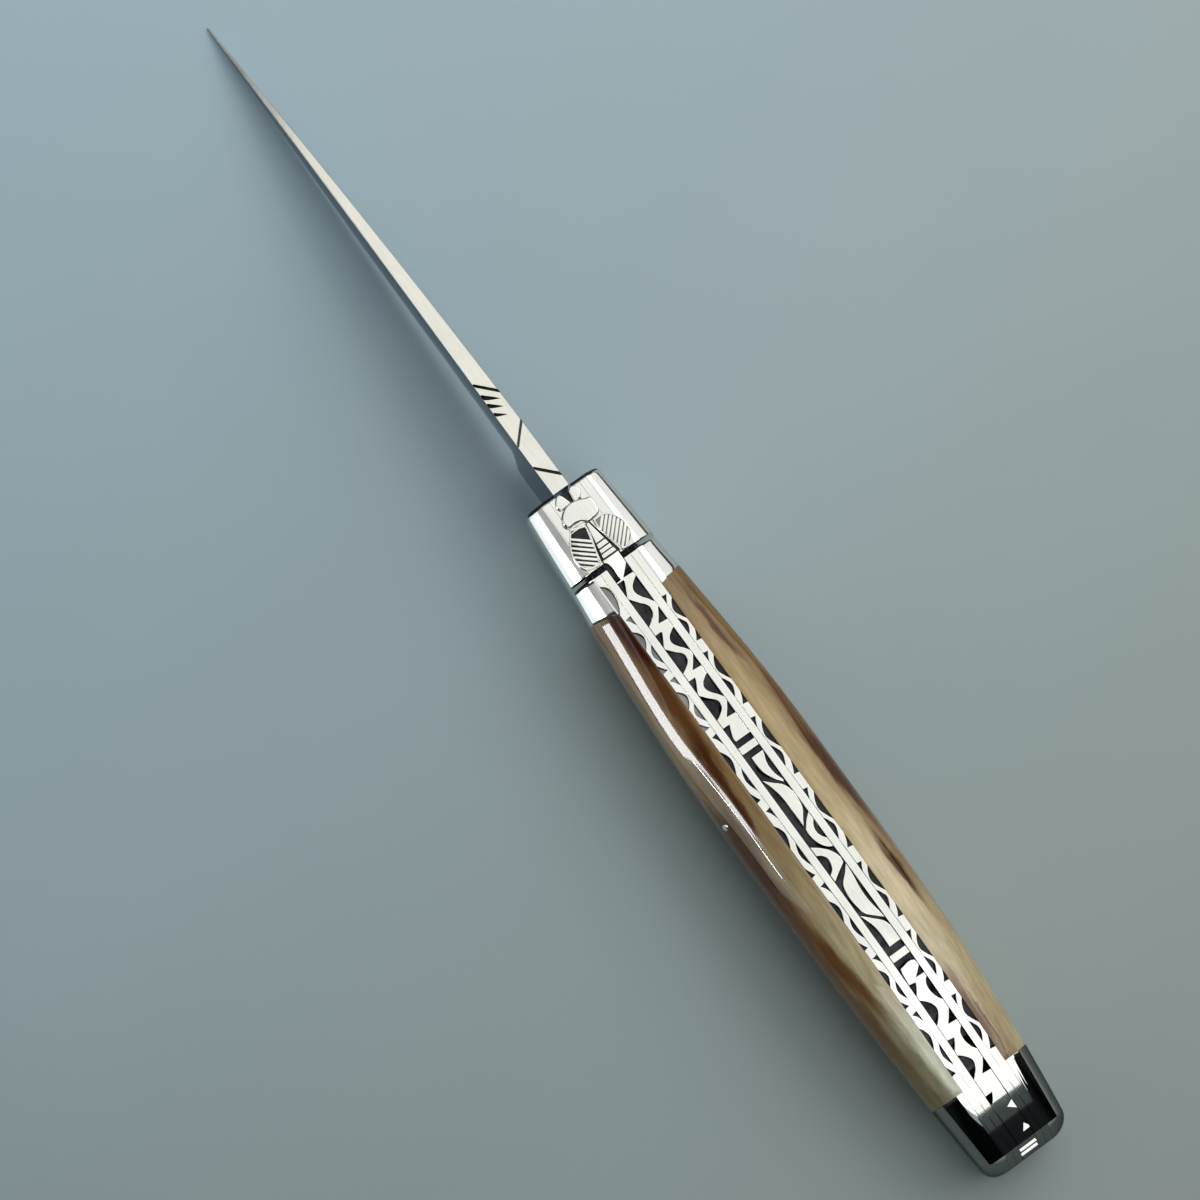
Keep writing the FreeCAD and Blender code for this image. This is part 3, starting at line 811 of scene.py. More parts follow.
for hand, wave in linerWaves.items():
    outline = [linerOutline(liner["recess"])]
    plate = edgePlate("outerLiner" + hand, outline, liner["thickness"], outerSide, liner["edge"])
    paint(plate, finish["liner"], finish["recess"], finish["filed"], finish["end"])
    paintFrontShade(plate)
    paintEndShade(plate, 3)
    # the lowered top under the filed work takes painted shade: grey up to greyTo, near black behind it
    paintFaces(plate, 1, inRecess)
    paintFaces(plate, 2, lambda face: inRecess(face) and -face.center.x < wave["greyTo"])
    top = laidSheet("wave" + hand, [linerWaveOutline(wave)], waveCut["thickness"], waveCut["edge"], waveTop)
    paint(top, finish["liner"], finish["recess"])
    # the walls of the filed wave take painted shade
    paintWallShade(top)
    piece = joinAll([plate, top], "outerLiner" + hand)
    if hand == "Right":
        mirror(piece)
    standUp(piece, ["outer_liner_" + hand.lower()], "handle", liner["smooth"])
print("liners made")

# back spring: a plain bar with a channel painted near black as shade, and the filed vine and leaves laid in
# it;
# its channel is low between the bee's eyes, level under the bee, then wavy
spring = {
    "width": 3.0, "edge": 0.06, "smooth": 8, "nose": 0.6, "seat": -4.18, "seatEnd": 16, "rampEnd": 15.8,
    "middle": (62, -5.2), "rear": 110.5, "rearDepth": 4.4, "underCount": 60, "topTo": 117.4, "topCount": 12,
    "bellyCount": 8, "tailCount": 10, "rim": 1.48,
    "eyes": 2.7, "eyeFloor": 0.25, "eyesFrom": 2.0, "beeGap": 0.3, "beeFloor": 0.97,
    "channelEnd": 110.3, "channelCount": 240, "channelFacing": 0.2, "recess": 0.85,
    "waveFrom": 16.3, "waveLength": 4.7, "waveDepth": 0.2, "filing": 1.15, "filingEdge": 0.07,
}
# Two bright steps filed across the slope at the tail, as (riser, end of the tread), with the lean of
# a riser and the fall of a tread
tailSteps = {"steps": [(118.15, 118.6), (118.85, 119.3)], "lean": 0.04, "fall": 0.09,
             "end": 119.5, "endCount": 4}


def springTop(place):
    if place < head["step"]:
        return head["rise"]
    if place < spring["rampEnd"]:
        return head["rise"] * (spring["rampEnd"] - place) / (spring["rampEnd"] - head["step"])
    return spineAt(place)


# Underside of the spring: one even curve through its seat, its middle and its rear
def springUnder(place):
    rear = (spring["rear"], spineAt(spring["rear"]) - spring["rearDepth"])
    knots = [(spring["seatEnd"], spring["seat"]), spring["middle"], rear]
    height = 0
    for at, value in knots:
        for other in [knot[0] for knot in knots if knot[0] != at]:
            value *= (place - other) / (at - other)
        height += value
    return height


# Whether a place lies under the body of the bee
def underBee(place):
    return spring["eyes"] < place < head["step"] - spring["beeGap"]


# The waves let the pockets catch the light unevenly
def channelFloor(place):
    if underBee(place):
        return spring["beeFloor"]
    if place <= spring["eyes"]:
        return spring["eyeFloor"]
    wave = math.sin((place - spring["waveFrom"]) * 2 * math.pi / spring["waveLength"])
    return springTop(place) - spring["recess"] - spring["waveDepth"] * wave


def springTail():
    first = handle["length"] - handle["tailSlope"]
    corners = alongLine([first], springTop)
    for riser, tread in tailSteps["steps"]:
        foot = (riser + tailSteps["lean"], springTop(tread) + tailSteps["fall"], 0)
        corners += alongLine([riser], springTop) + [foot] + alongLine([tread], springTop)
    rear = spread(tailSteps["end"], handle["length"], tailSteps["endCount"])
    return corners + alongLine(rear, springTop)


springOutline = [(spring["nose"], spring["seat"], 0), (spring["nose"], spring["eyeFloor"], 0)]
channelPlaces = spread(spring["eyesFrom"], spring["channelEnd"], spring["channelCount"])
springOutline += alongLine(channelPlaces, channelFloor)
topPlaces = spread(spring["channelEnd"] + wall, spring["topTo"], spring["topCount"])
springOutline += alongLine(topPlaces, springTop) + springTail()
bellyPlaces = spread(spring["rear"], spring["topTo"], spring["bellyCount"])
bellyPlaces += tailPlaces(spring["tailCount"])
springOutline += alongLine(bellyPlaces[::-1], bellyAt)
underPlaces = spread(spring["seatEnd"], spring["rear"], spring["underCount"])
springOutline += alongLine(underPlaces[::-1], springUnder)
springBar = edgePlate("backSpring", [springOutline], spring["width"], 0, spring["edge"])
paint(springBar, finish["spring"], finish["recess"], finish["end"])


def inChannel(face):
    place = -face.center.x
    upwards = face.normal.z > spring["channelFacing"]
    return upwards and not underBee(place) and place <= spring["channelEnd"]


# the channel floor takes painted shade
paintFaces(springBar, 1, inChannel)
paintEndShade(springBar, 2)

# Two three-cornered pockets by the spring's right edge, their floors turned a little to the front
pocketCut = {
    "corners": [[(111.3, -1.65), (113.0, -1.65), (111.9, -0.35)],
                [(115.2, -1.05), (116.25, -1.7), (116.3, -0.3)]],
    "thickness": 1.0, "depth": 0.02, "turn": -9,
}
for corners in pocketCut["corners"]:
    rear = max(place for place, side in corners)
    outline = [(place - rear, side, 0) for place, side in corners]
    pocket = cutSheet("pocket", [outline], pocketCut["thickness"], 0)
    placeAt(pocket, (0, 0, pocketCut["thickness"] / 2))
    placeAt(pocket, (-rear, 0, springTop(rear) - pocketCut["depth"]), (0, pocketCut["turn"], 0))
    paint(pocket, finish["spring"])
    applyModifier(springBar, "BOOLEAN", operation="DIFFERENCE", solver="EXACT", object=pocket)
    bpy.data.objects.remove(pocket)

# One repeat of the vine, as shares of its length and side distances in mm, and (start, length) of repeats
vine = {
    "right": [(0.055, -1.48, 0), (0.095, -0.85, 1), (0.165, -0.15, 1), (0.25, 0.08, 1), (0.36, -0.3, 1),
              (0.46, -0.98, 1), (0.55, -1.48, 0), (0.645, -1.48, 0), (0.77, -0.72, 1), (0.868, -0.02, 0),
              (0.885, -1.48, 0)],
    "left": [(0, 1.48, 0), (0, 0.3, 0), (0.11, 0.8, 1), (0.25, 1.48, 0), (0.30, 1.48, 0), (0.42, 0.62, 1),
             (0.53, -0.22, 1), (0.61, -0.42, 1), (0.69, -0.18, 1), (0.77, 0.65, 1), (0.825, 1.48, 0)],
    "rearRight": [(0.02, -1.48, 0), (0.09, -0.9, 1), (0.2, -0.66, 1), (0.35, -0.85, 1), (0.5, -1.48, 0),
                  (0.66, -1.48, 0), (0.77, -0.8, 1), (0.868, -0.1, 0), (0.885, -1.48, 0)],
    "rearLeft": [(0, 1.48, 0), (0.02, 0.45, 0), (0.09, 0.8, 1), (0.19, 1.48, 0), (0.28, 1.48, 0),
                 (0.37, 0.6, 1), (0.46, 0.1, 1), (0.52, 0.05, 1), (0.6, 0.4, 1), (0.67, 1.0, 1),
                 (0.72, 1.48, 0)],
    "tooth": [(0, 1.48, 0), (0, 0.3, 0), (1.1, 0.8, 1)],
    "front": [(16.35, 9.5), (25.85, 8.4), (34.25, 8.6)], "frontTooth": [(42.85, 1)],
    "rear": [(89.4, 8.8), (98.2, 8.8)], "rearOther": [(89.2, 9.8), (99.0, 9.4)],
    "rearTooth": [(108.9, 0.8)],
}


def vineEdge(shape, repeats):
    edge = []
    for start, length in vine[repeats]:
        edge += [(start + length * share, side, smooth) for share, side, smooth in vine[shape]]
    return edge


frontVine = [(12.3, -1.4, 0), (14.5, -1.42, 0), (16.0, 0.1, 0), (16.1, -1.48, 0)]
frontVine += vineEdge("right", "front")
frontVine += [(45.5, -1.48, 0), (45.5, 1.1, 0), (44.95, 1.1, 1)] + vineEdge("tooth", "frontTooth")[::-1]
frontVine += vineEdge("left", "front")[::-1]
frontVine += [(16.1, 1.48, 0), (16.05, 0.75, 0), (13.3, 0.95, 1), (12.7, 1.4, 0), (12.3, 1.4, 0)]
rearVine = [(86.5, -1.3, 1), (87.0, -1.48, 0), (87.6, -1.48, 0), (88.4, -0.6, 1), (88.8, -0.1, 0)]
rearVine += [(88.85, -1.48, 0)] + vineEdge("rearRight", "rear") + [(110.6, -1.48, 0), (110.6, 1.48, 0)]
rearVine += vineEdge("tooth", "rearTooth")[::-1] + vineEdge("rearLeft", "rearOther")[::-1]
rearVine += [(87.2, 1.3, 1), (86.5, 1.1, 0)]
leaves = [
    [(48.7, -1.48, 0), (49.3, -1.3, 1), (50.6, -0.85, 1), (52.4, -0.85, 1), (54.0, -1.35, 0),
     (54.35, -1.2, 0), (53.0, -0.2, 1), (51.6, 0.45, 1), (50.2, 0.62, 1), (48.7, 0.6, 0)],
    [(52.3, 1.45, 0), (53.5, 0.25, 1), (54.7, -0.95, 1), (56.0, -1.42, 1), (58.0, -1.42, 1),
     (59.1, -1.15, 1), (60.1, -0.5, 1), (61.4, 0.35, 0), (59.0, 0.36, 1), (56.0, 0.46, 1), (54.0, 0.85, 1)],
    [(60.0, -1.48, 0), (61.3, -1.48, 0), (62.1, -0.95, 1), (63.0, -0.75, 1), (63.9, -0.95, 1),
     (64.7, -1.48, 0), (66.2, -1.48, 0), (66.0, -1.0, 1), (64.9, -0.1, 1), (63.6, 0.38, 1), (61.95, 0.4, 0),
     (60.9, -0.45, 1)],
    [(64.4, 1.46, 0), (65.5, 0.1, 1), (66.8, -0.95, 1), (68.2, -1.4, 1), (69.0, -1.3, 0), (69.3, -0.8, 1),
     (70.0, 0.4, 1), (70.7, 1.46, 0), (69.5, 1.46, 0), (68.8, 0.65, 1), (67.6, 0.3, 1), (66.6, 0.6, 1),
     (66.0, 1.46, 0)],
    [(69.3, -1.48, 0), (71.2, -1.38, 1), (73.6, -1.05, 1), (75.8, -1.05, 1), (77.8, -1.35, 1),
     (79.0, -1.48, 0), (78.0, -0.4, 1), (76.9, 0.6, 1), (75.6, 1.0, 1), (73.0, 1.05, 1), (71.5, 0.6, 1),
     (70.4, -0.5, 1), (69.7, -1.1, 1)],
    [(76.7, 1.46, 0), (78.1, 0.1, 1), (79.5, -1.15, 1), (80.6, -1.48, 0), (83.0, -1.48, 0), (83.0, 0.55, 0),
     (81.0, 0.5, 1), (79.0, 0.7, 1)],
]
bars = []
for start, end in ((46.5, 47.7), (84.1, 85.3)):
    rim = spring["rim"]
    bars.append([(start, -rim, 0), (end, -rim, 0), (end, rim, 0), (start, rim, 0)])


def filedTop(place):
    return springTop(place) - reliefGap


filedOutlines = [frontVine, rearVine] + leaves + bars
filed = laidSheet("springFiling", filedOutlines, spring["filing"], spring["filingEdge"], filedTop)
paint(filed, finish["spring"], finish["recess"])
# the walls of the filed vine and leaves take painted shade
paintWallShade(filed)
backSpring = joinAll([springBar, filed], "backSpring")
standUp(backSpring, ["back_spring"], "handle", spring["smooth"])
print("back spring made")

# Bee on the spring's head, an own drawing of a plain traditional ornament, as (place, side, smooth) knots
bee = {
    "thorax": [[(3.2, -1.9, 1), (3.4, -2.55, 1), (4.05, -2.88, 1), (5.2, -2.8, 1), (6.1, -2.45, 1),
                (6.4, -1.2, 1), (6.45, -0.3, 1), (5.9, 0.35, 1), (5.55, 1.4, 1), (5.55, 2.6, 1),
                (4.95, 3.1, 1), (4.3, 3.05, 1), (3.1, 2.1, 1), (2.6, 0.9, 1), (2.6, -0.2, 1),
                (2.85, -1.1, 1)]],
    "eye": [[(0.6, -1.5, 1), (1.2, -2.0, 1), (2.2, -1.95, 1), (2.75, -1.1, 1), (2.8, -0.3, 0),
             (1.7, -0.45, 1), (0.75, -0.7, 1)],
            [(0.6, 1.0, 1), (0.9, 0.72, 1), (1.7, 0.4, 1), (2.7, 0.1, 0), (2.72, 1.2, 1), (2.7, 2.0, 1),
             (2.05, 2.4, 1), (1.25, 2.1, 1)]],
    "stripe": [[(5.68, 0.3, 0), (5.95, 0.3, 0), (5.95, 2.7, 0), (5.68, 2.6, 0)],
               [(6.3, 0.5, 0), (6.52, 0.5, 0), (6.52, 2.95, 0), (6.3, 2.85, 0)]],
    "rail": [[(7.2, 0.55, 0), (12.5, 1.72, 0), (12.5, 1.95, 0), (7.2, 0.72, 0)],
             [(7.2, -0.55, 0), (12.5, -1.72, 0), (12.5, -1.95, 0), (7.2, -0.72, 0)]],
    "body": [[(6.4, 0.5, 0), (12.4, 1.7, 0), (12.4, -1.7, 0), (6.4, -0.5, 0)]],
    "ring": [],
}
# Rings of the abdomen as (start, end), its half width at the first place, and its gain over a length
abdomen = {
    "rings": [(6.5, 9.7), (9.88, 10.62), (10.8, 11.4), (11.55, 12.2)],
    "first": 6.5, "half": 0.22, "gain": 0.95, "length": 5.7,
}
# Sizes as (rise of the top above the head, thickness, rounding, steps of the rounding)
beeSizes = {
    "thorax": (0.95, 1.4, 0.34, 4), "eye": (0.6, 1.3, 0.22, 4), "stripe": (0.72, 0.7, 0.05, 2),
    "rail": (0.62, 0.6, 0.05, 2), "body": (0.3, 0.5, 0.05, 2), "ring": (0.6, 0.6, 0.06, 2),
    "wingFloor": (0.34, 0.7, 0.05, 2), "wingRim": (0.7, 0.9, 0.06, 2), "wingRib": (0.66, 0.6, 0.05, 2),
}
# Ribs lean by degrees and repeat by a pitch from a first place, with a groove between them
# each wing's floor names the steel that paints shade in its sunk floor
wings = {
    "Left": {
        "outline": [(5.75, 2.7, 0), (6.3, 3.05, 1), (7.35, 3.85, 1), (8.8, 4.62, 1), (10.3, 4.85, 1),
                    (11.5, 4.65, 1), (12.3, 4.0, 1), (12.6, 2.9, 1), (12.7, 2.15, 0), (10.5, 1.25, 0),
                    (8.2, 0.55, 0), (6.5, 0.4, 0)],
        "lean": 50, "first": 7.35, "pitch": 0.87, "groove": 0.33, "side": 2.6, "floor": "recess",
    },
    "Right": {
        "outline": [(6.45, 1.0, 0), (6.55, 2.75, 1), (7.5, 3.85, 1), (8.9, 4.55, 1), (10.2, 4.75, 1),
                    (11.6, 4.4, 1), (12.45, 3.6, 1), (12.75, 2.6, 1), (12.72, 2.1, 0), (10.5, 1.4, 0),
                    (8.5, 0.85, 0)],
        "lean": 44, "first": 6.3, "pitch": 0.86, "groove": 0.24, "side": 2.6, "floor": "filed",
    },
}
wingCut = {"hole": 0.9, "ribs": 0.93, "lastRib": 15}


# An outline cut down to one side of a straight line
def clipOutline(outline, origin, normal):
    kept = []
    for (x, y), (nextX, nextY) in zip(outline, outline[1:] + outline[:1]):
        here = (x - origin[0]) * normal[0] + (y - origin[1]) * normal[1]
        there = (nextX - origin[0]) * normal[0] + (nextY - origin[1]) * normal[1]
        if here >= 0:
            kept.append((x, y))
        if here * there < 0:
            share = here / (here - there)
            kept.append((x + (nextX - x) * share, y + (nextY - y) * share))
    return kept


# An outline drawn in towards its middle by a share
def shrink(outline, share):
    middleX = sum(x for x, y in outline) / len(outline)
    middleY = sum(y for x, y in outline) / len(outline)
    return [(middleX + (x - middleX) * share, middleY + (y - middleY) * share) for x, y in outline]


# Flat part of the bee
def beePart(kind, outlines, look="spring"):
    rise, thickness, edge, rounds = beeSizes[kind]
    part = laidSheet(kind, outlines, thickness, edge, lambda place: head["rise"] + rise, rounds)
    paint(part, finish[look])
    return part


# A wing: a sunk floor painted with shade, a raised rim and slanted ribs between the grooves
def makeWing(wing):
    outline = wing["outline"]
    knots = [(place, side) for place, side, smooth in outline]
    hole = [(*point, knot[2]) for point, knot in zip(shrink(knots, wingCut["hole"]), outline)]
    parts = [beePart("wingFloor", [outline], wing["floor"]), beePart("wingRim", [outline, hole])]
    lean = math.radians(wing["lean"])
    normal = (math.sin(lean), math.cos(lean))
    inside = shrink(knots, wingCut["ribs"])
    start = wing["first"] + wing["groove"] / 2
    while start < wingCut["lastRib"]:
        end = start + wing["pitch"] - wing["groove"]
        rib = clipOutline(inside, (start, wing["side"]), normal)
        rib = clipOutline(rib, (end, wing["side"]), (-normal[0], -normal[1]))
        if len(rib) > 2:
            parts.append(beePart("wingRib", [[(x, y, 0) for x, y in rib]]))
        start += wing["pitch"]
    return parts


for start, end in abdomen["rings"]:
    halves = []
    for place in (start, end):
        halves.append(abdomen["half"] + (place - abdomen["first"]) / abdomen["length"] * abdomen["gain"])
    first, last = halves
    bee["ring"].append([(start, -first, 0), (end, -last, 0), (end, last, 0), (start, first, 0)])
beeParts = []
for kind, outlines in bee.items():
    # the low body between the rails takes the near-black steel as painted shade
    look = "recess" if kind == "body" else "spring"
    beeParts += [beePart(kind, [outline], look) for outline in outlines]
for hand, wing in wings.items():
    parts = makeWing(wing)
    if hand == "Right":
        for part in parts:
            mirror(part)
    beeParts += parts
beeOrnament = joinAll(beeParts, "beeOrnament")
standUp(beeOrnament, ["bee_ornament"], "handle")
print("bee made")

# blade: flat ricasso, full grind to a fine tip, chiselled cuts across its back
blade = {
    "tip": 92.0076, "thickness": 2.9, "tipThickness": 0.2, "taperPower": 1.25,
    "spineStart": 0.6, "droop": 1.8, "tipDepth": 13.5, "tipHeight": 0.3,
    "heelDepth": 13.6, "bow": 0.6, "heel": (6.2, 3.4),
    "ricasso": 9.5, "ricassoLow": -13.9, "plungeTop": 11.1, "plungeLow": 8.2, "plungeLength": 1.3,
    "edgeHalf": 0.45, "edgeShare": 0.5, "edgeLine": 0.05, "edgeDepth": 0.999, "grindPower": 3,
    "chamfer": 0.13, "chamferOfHalf": 0.4, "chamferOfDepth": 0.2,
    "steps": 130, "stepPower": 1.15, "flankSteps": 16, "gap": 0.0001, "backUp": 0.6, "smooth": 24,
}


def bladeSpine(ahead):
    slope = math.tan(math.radians(blade["droop"]))
    fall = blade["spineStart"] - slope * blade["tip"] + blade["tipDepth"] - blade["tipHeight"]
    return blade["spineStart"] - slope * ahead - fall / blade["tip"] ** 2 * ahead ** 2


# Share of the way from the ricasso to the tip
def bladeShare(ahead):
    return max(0, (ahead - blade["ricasso"]) / (blade["tip"] - blade["ricasso"]))


def bladeEdge(ahead):
    along = bladeShare(ahead)
    edge = -blade["heelDepth"] - (blade["tipDepth"] - blade["heelDepth"]) * along
    edge -= blade["bow"] * 4 * along * (1 - along)
    return blade["ricassoLow"] + (edge - blade["ricassoLow"]) * smoothStep(ahead, *blade["heel"])


# Half the thickness at a depth, as a share of the way from the back to the edge
def bladeHalf(ahead, depth):
    thinner = (blade["tipThickness"] - blade["thickness"]) * bladeShare(ahead) ** blade["taperPower"]
    back = (blade["thickness"] + thinner) / 2
    thin = min(blade["edgeHalf"], blade["edgeShare"] * back)
    ground = back + (thin - back) * depth ** blade["grindPower"]
    if depth > blade["edgeDepth"]:
        ground = blade["edgeLine"]
    plunge = blade["plungeTop"] + (blade["plungeLow"] - blade["plungeTop"]) * depth
    return back + (ground - back) * smoothStep(ahead, plunge, blade["plungeLength"])


# Ring of points round the blade at a distance ahead of the handle, from the back's left corner to its right
def bladeRing(ahead):
    top, bottom = bladeSpine(ahead), bladeEdge(ahead)
    half, deep = bladeHalf(ahead, 0), top - bottom
    chamfer = min(blade["chamfer"], half * blade["chamferOfHalf"], deep * blade["chamferOfDepth"])
    left = [(half - chamfer, top)]
    for depth in spread(chamfer / deep, 1, blade["flankSteps"] + 1):
        left.append((bladeHalf(ahead, depth), top - deep * depth))
    return left + [(-side, height) for side, height in reversed(left)]


ringCount = 2 * (blade["flankSteps"] + 2)
bpy.ops.mesh.primitive_grid_add(x_subdivisions=blade["steps"], y_subdivisions=ringCount, size=2)
bladeBody = bpy.context.object
aheads = [blade["tip"] * share ** blade["stepPower"] for share in spread(0, 1, blade["steps"] + 1)]
rings = [bladeRing(ahead) for ahead in aheads]
for vertex in bladeBody.data.vertices:
    step = round((vertex.co.x + 1) / 2 * blade["steps"])
    corner = round((vertex.co.y + 1) / 2 * ringCount) % ringCount
    vertex.co = (aheads[step], *rings[step][corner])
# the flanks of the blade take painted shade towards the back
noteShadeDepth(bladeBody, lambda ahead: (bladeEdge(ahead), bladeSpine(ahead)))
tidy(bladeBody, blade["gap"])
enterEdit(bladeBody)
bpy.ops.mesh.fill_holes(sides=0)
leaveEdit()
tidy(bladeBody, blade["gap"])
# faces of the back that look up take the lighter copy of the blade steel as painted light
paint(bladeBody, finish["blade"], finish["litBladeBack"])
paintFaces(bladeBody, 1, lambda face: face.normal.z > blade["backUp"])

# Cuts in the back: grooves as (ahead at left, ahead at right, width), and notches as
# (ahead at foot, ahead at point, side at point, width)
backCuts = {
    "grooves": [(4.95, 1.9, 0.5), (9.0, 12.1, 0.42), (20.6, 17.5, 0.5)], "length": 5.2, "section": 0.72,
    "notches": [(18.5, 16.4, -1.0, 1.2), (16.9, 15.2, -0.6, 1.1), (15.2, 13.9, -0.3, 0.95)],
    "footSide": 1.75, "footSink": 0.05, "pointRise": 0.1, "pointRadius": 0.01,
}
cutters = []
for leftAhead, rightAhead, width in backCuts["grooves"]:
    middle = (leftAhead + rightAhead) / 2
    turn = math.atan2(blade["thickness"], leftAhead - rightAhead)
    fall = (bladeSpine(middle - 1) - bladeSpine(middle + 1)) / 2 * math.cos(turn)
    section = width * backCuts["section"]
    bpy.ops.mesh.primitive_cube_add(size=1)
    cutter = bpy.context.object
    placeAt(cutter, scale=(backCuts["length"], section, section))
    placeAt(cutter, rotation=(45, 0, 0))
    placeAt(cutter, (middle, 0, bladeSpine(middle)), (0, math.degrees(math.atan(fall)), math.degrees(turn)))
    cutters.append(cutter)
for foot, point, side, width in backCuts["notches"]:
    start = Vector((foot, backCuts["footSide"], bladeSpine(foot) - backCuts["footSink"]))
    end = Vector((point, side, bladeSpine(point) + backCuts["pointRise"]))
    bpy.ops.mesh.primitive_cone_add(vertices=4, radius1=width / 2, radius2=backCuts["pointRadius"],
                                    depth=(end - start).length)
    cutter = bpy.context.object
    placeAt(cutter, rotation=(0, 90, 0))
    turn = math.degrees(math.atan2(end.y - start.y, end.x - start.x))
    placeAt(cutter, (start + end) / 2, (0, 0, turn))
    cutters.append(cutter)
# the cuts take the grey filed steel as painted shade
for cutter in cutters:
    paint(cutter, finish["filed"])
    applyModifier(bladeBody, "BOOLEAN", operation="DIFFERENCE", solver="EXACT", object=cutter,
                  material_mode="TRANSFER")
    bpy.data.objects.remove(cutter)

# Tang round the pivot, its radius cut back by the flats of the open and the closed blade
tang = {
    "place": 8.0, "height": -9.2, "walk": 5.35, "flat": 5.0, "fold": 175.0, "front": -0.3, "lowPlace": 6.9,
    "hole": 1.63, "holeSteps": 16, "thickness": 2.96, "edge": 0.06, "turns": range(90, 276, 5),
    "leastPush": 0.2,
}


def tangReach(back, up):
    fold = math.radians(tang["fold"])
    pushes = (up, back * math.sin(fold) + up * math.cos(fold))
    return min([tang["walk"]] + [tang["flat"] / push for push in pushes if push > tang["leastPush"]])


flatTop = tang["height"] + tang["flat"]
tangOutline = [(tang["front"], flatTop, 0), (tang["place"], flatTop, 0)]
for degrees in tang["turns"]:
    back, up = -math.cos(math.radians(degrees)), math.sin(math.radians(degrees))
    reach = tangReach(back, up)
    tangOutline.append((tang["place"] + back * reach, tang["height"] + up * reach, 0))
tangOutline += [(tang["lowPlace"], blade["ricassoLow"], 0), (tang["front"], blade["ricassoLow"], 0)]
pivotHole = []
for step in range(tang["holeSteps"]):
    turn = 2 * math.pi * step / tang["holeSteps"]
    back, up = tang["hole"] * math.cos(turn), tang["hole"] * math.sin(turn)
    pivotHole.append((tang["place"] + back, tang["height"] + up, 1))
tangPlate = edgePlate("tang", [tangOutline, pivotHole], tang["thickness"], 0, tang["edge"])
paint(tangPlate, finish["blade"])
bladePiece = joinAll([bladeBody, tangPlate], "knifeBlade")
standUp(bladePiece, ["blade"], "blade", blade["smooth"])
print("blade made")

# pins and rivets, each a shank with softly domed heads
# as node, radius, place, height, flank, dome of the heads, and how far the right end stops below the flank
pinSet = {
    "pivotPin": ("pivot_pin", 1.6, tang["place"], tang["height"], headShape, 0.02, 0),
    "springTailPin": ("spring_tail_pin", 1.1, 114.0, -12.898, plainShape, 0.02, 0),
    "frontScalePins": ("front_scale_pins", 0.6, 26.0, -9.6, plainShape, 0.02, 0),
    "centreScalePins": ("centre_scale_pins", 0.5, 54.7, -3.3, plainShape, 0.1, 0.3),
    "rearScalePins": ("rear_scale_pins", 0.6, 99.0, -13.0, plainShape, 0.02, 0),
    "frontBolsterRivets": ("front_bolster_rivets", 0.9, 16.2, -10.6, plainShape, 0.02, 0),
    "rearBolsterRivets": ("rear_bolster_rivets", 0.9, 109.6, -16.6, plainShape, 0.02, 0),
}
pinLook = {
    "corners": 40, "rings": 6, "collar": 0.5, "endFacing": 0.9, "follow": 0.4, "clear": 0.1, "within": 0.01,
    "turns": (0.03, 0.97), "halvings": 22,
}


# Side distance of the flank at a place and height, found by halving
def flankSide(place, height, shape):
    low, high = pinLook["turns"]
    for step in range(pinLook["halvings"]):
        middle = (low + high) / 2
        if flankPoint(place, middle, shape).z > height:
            low = middle
        else:
            high = middle
    return flankPoint(place, low, shape).y


# Raises one end of a shank to a dome, ring by ring
def domeEnd(shank, radius, dome, up):
    for face in shank.data.polygons:
        face.select = face.normal.z * up > pinLook["endFacing"]
    bpy.ops.object.mode_set(mode="EDIT")
    bpy.ops.mesh.extrude_region_move(TRANSFORM_OT_translate={"value": (0, 0, pinLook["collar"] * up)})
    rim, lift = radius, 0
    for ring in range(1, pinLook["rings"]):
        turn = math.pi / 2 * ring / pinLook["rings"]
        reach, rise = radius * math.cos(turn), dome * math.sin(turn)
        bpy.ops.mesh.inset(thickness=rim - reach)
        bpy.ops.transform.translate(value=(0, 0, (rise - lift) * up))
        rim, lift = reach, rise
    leaveEdit()


# Parts a shank into a pair of short pins that leave the blade's slot free
def partShank(shank):
    inside = handle["slot"] + pinLook["clear"]
    enterEdit(shank)
    for cut in (inside, -inside):
        bpy.ops.mesh.select_all(action="SELECT")
        bpy.ops.mesh.bisect(plane_co=(0, cut, 0), plane_no=(0, 1, 0))
    bpy.ops.mesh.select_all(action="DESELECT")
    leaveEdit()
    for face in shank.data.polygons:
        face.select = abs(face.center.y) < inside - pinLook["within"]
    bpy.ops.object.mode_set(mode="EDIT")
    bpy.ops.mesh.delete(type="FACE")
    bpy.ops.mesh.select_all(action="SELECT")
    bpy.ops.mesh.fill_holes(sides=0)
    leaveEdit()


for name, (node, radius, place, height, shape, dome, sink) in pinSet.items():
    side = flankSide(place, height, shape)
    depth = 2 * (side - pinLook["collar"])
    bpy.ops.mesh.primitive_cylinder_add(vertices=pinLook["corners"], radius=radius, depth=depth)
    shank = bpy.context.object
    enterEdit(shank, "DESELECT")
    bpy.ops.mesh.select_mode(type="FACE")
    leaveEdit()
    for up in (1, -1):
        domeEnd(shank, radius, dome, up)
    placeAt(shank, (-place, 0, height), (90, 0, 0))
    if node.endswith("s"):
        partShank(shank)
    # the heads follow the flank
    for vertex in shank.data.vertices:
        if abs(vertex.co.y) > side - pinLook["follow"]:
            flush = flankSide(-vertex.co.x, vertex.co.z, shape) + abs(vertex.co.y) - side
            if vertex.co.y < 0:
                flush -= sink
            vertex.co.y = math.copysign(flush, vertex.co.y)
    tidy(shank)
    # pins behind the horn take the dark end steel as painted shade
    paint(shank, finish["end" if place > hornScale["end"] else "pin"])
    shank.name = name
    standUp(shank, [node], "handle")
paint(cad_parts["spring_middle_pin"], finish["pin"])
print("pins made")

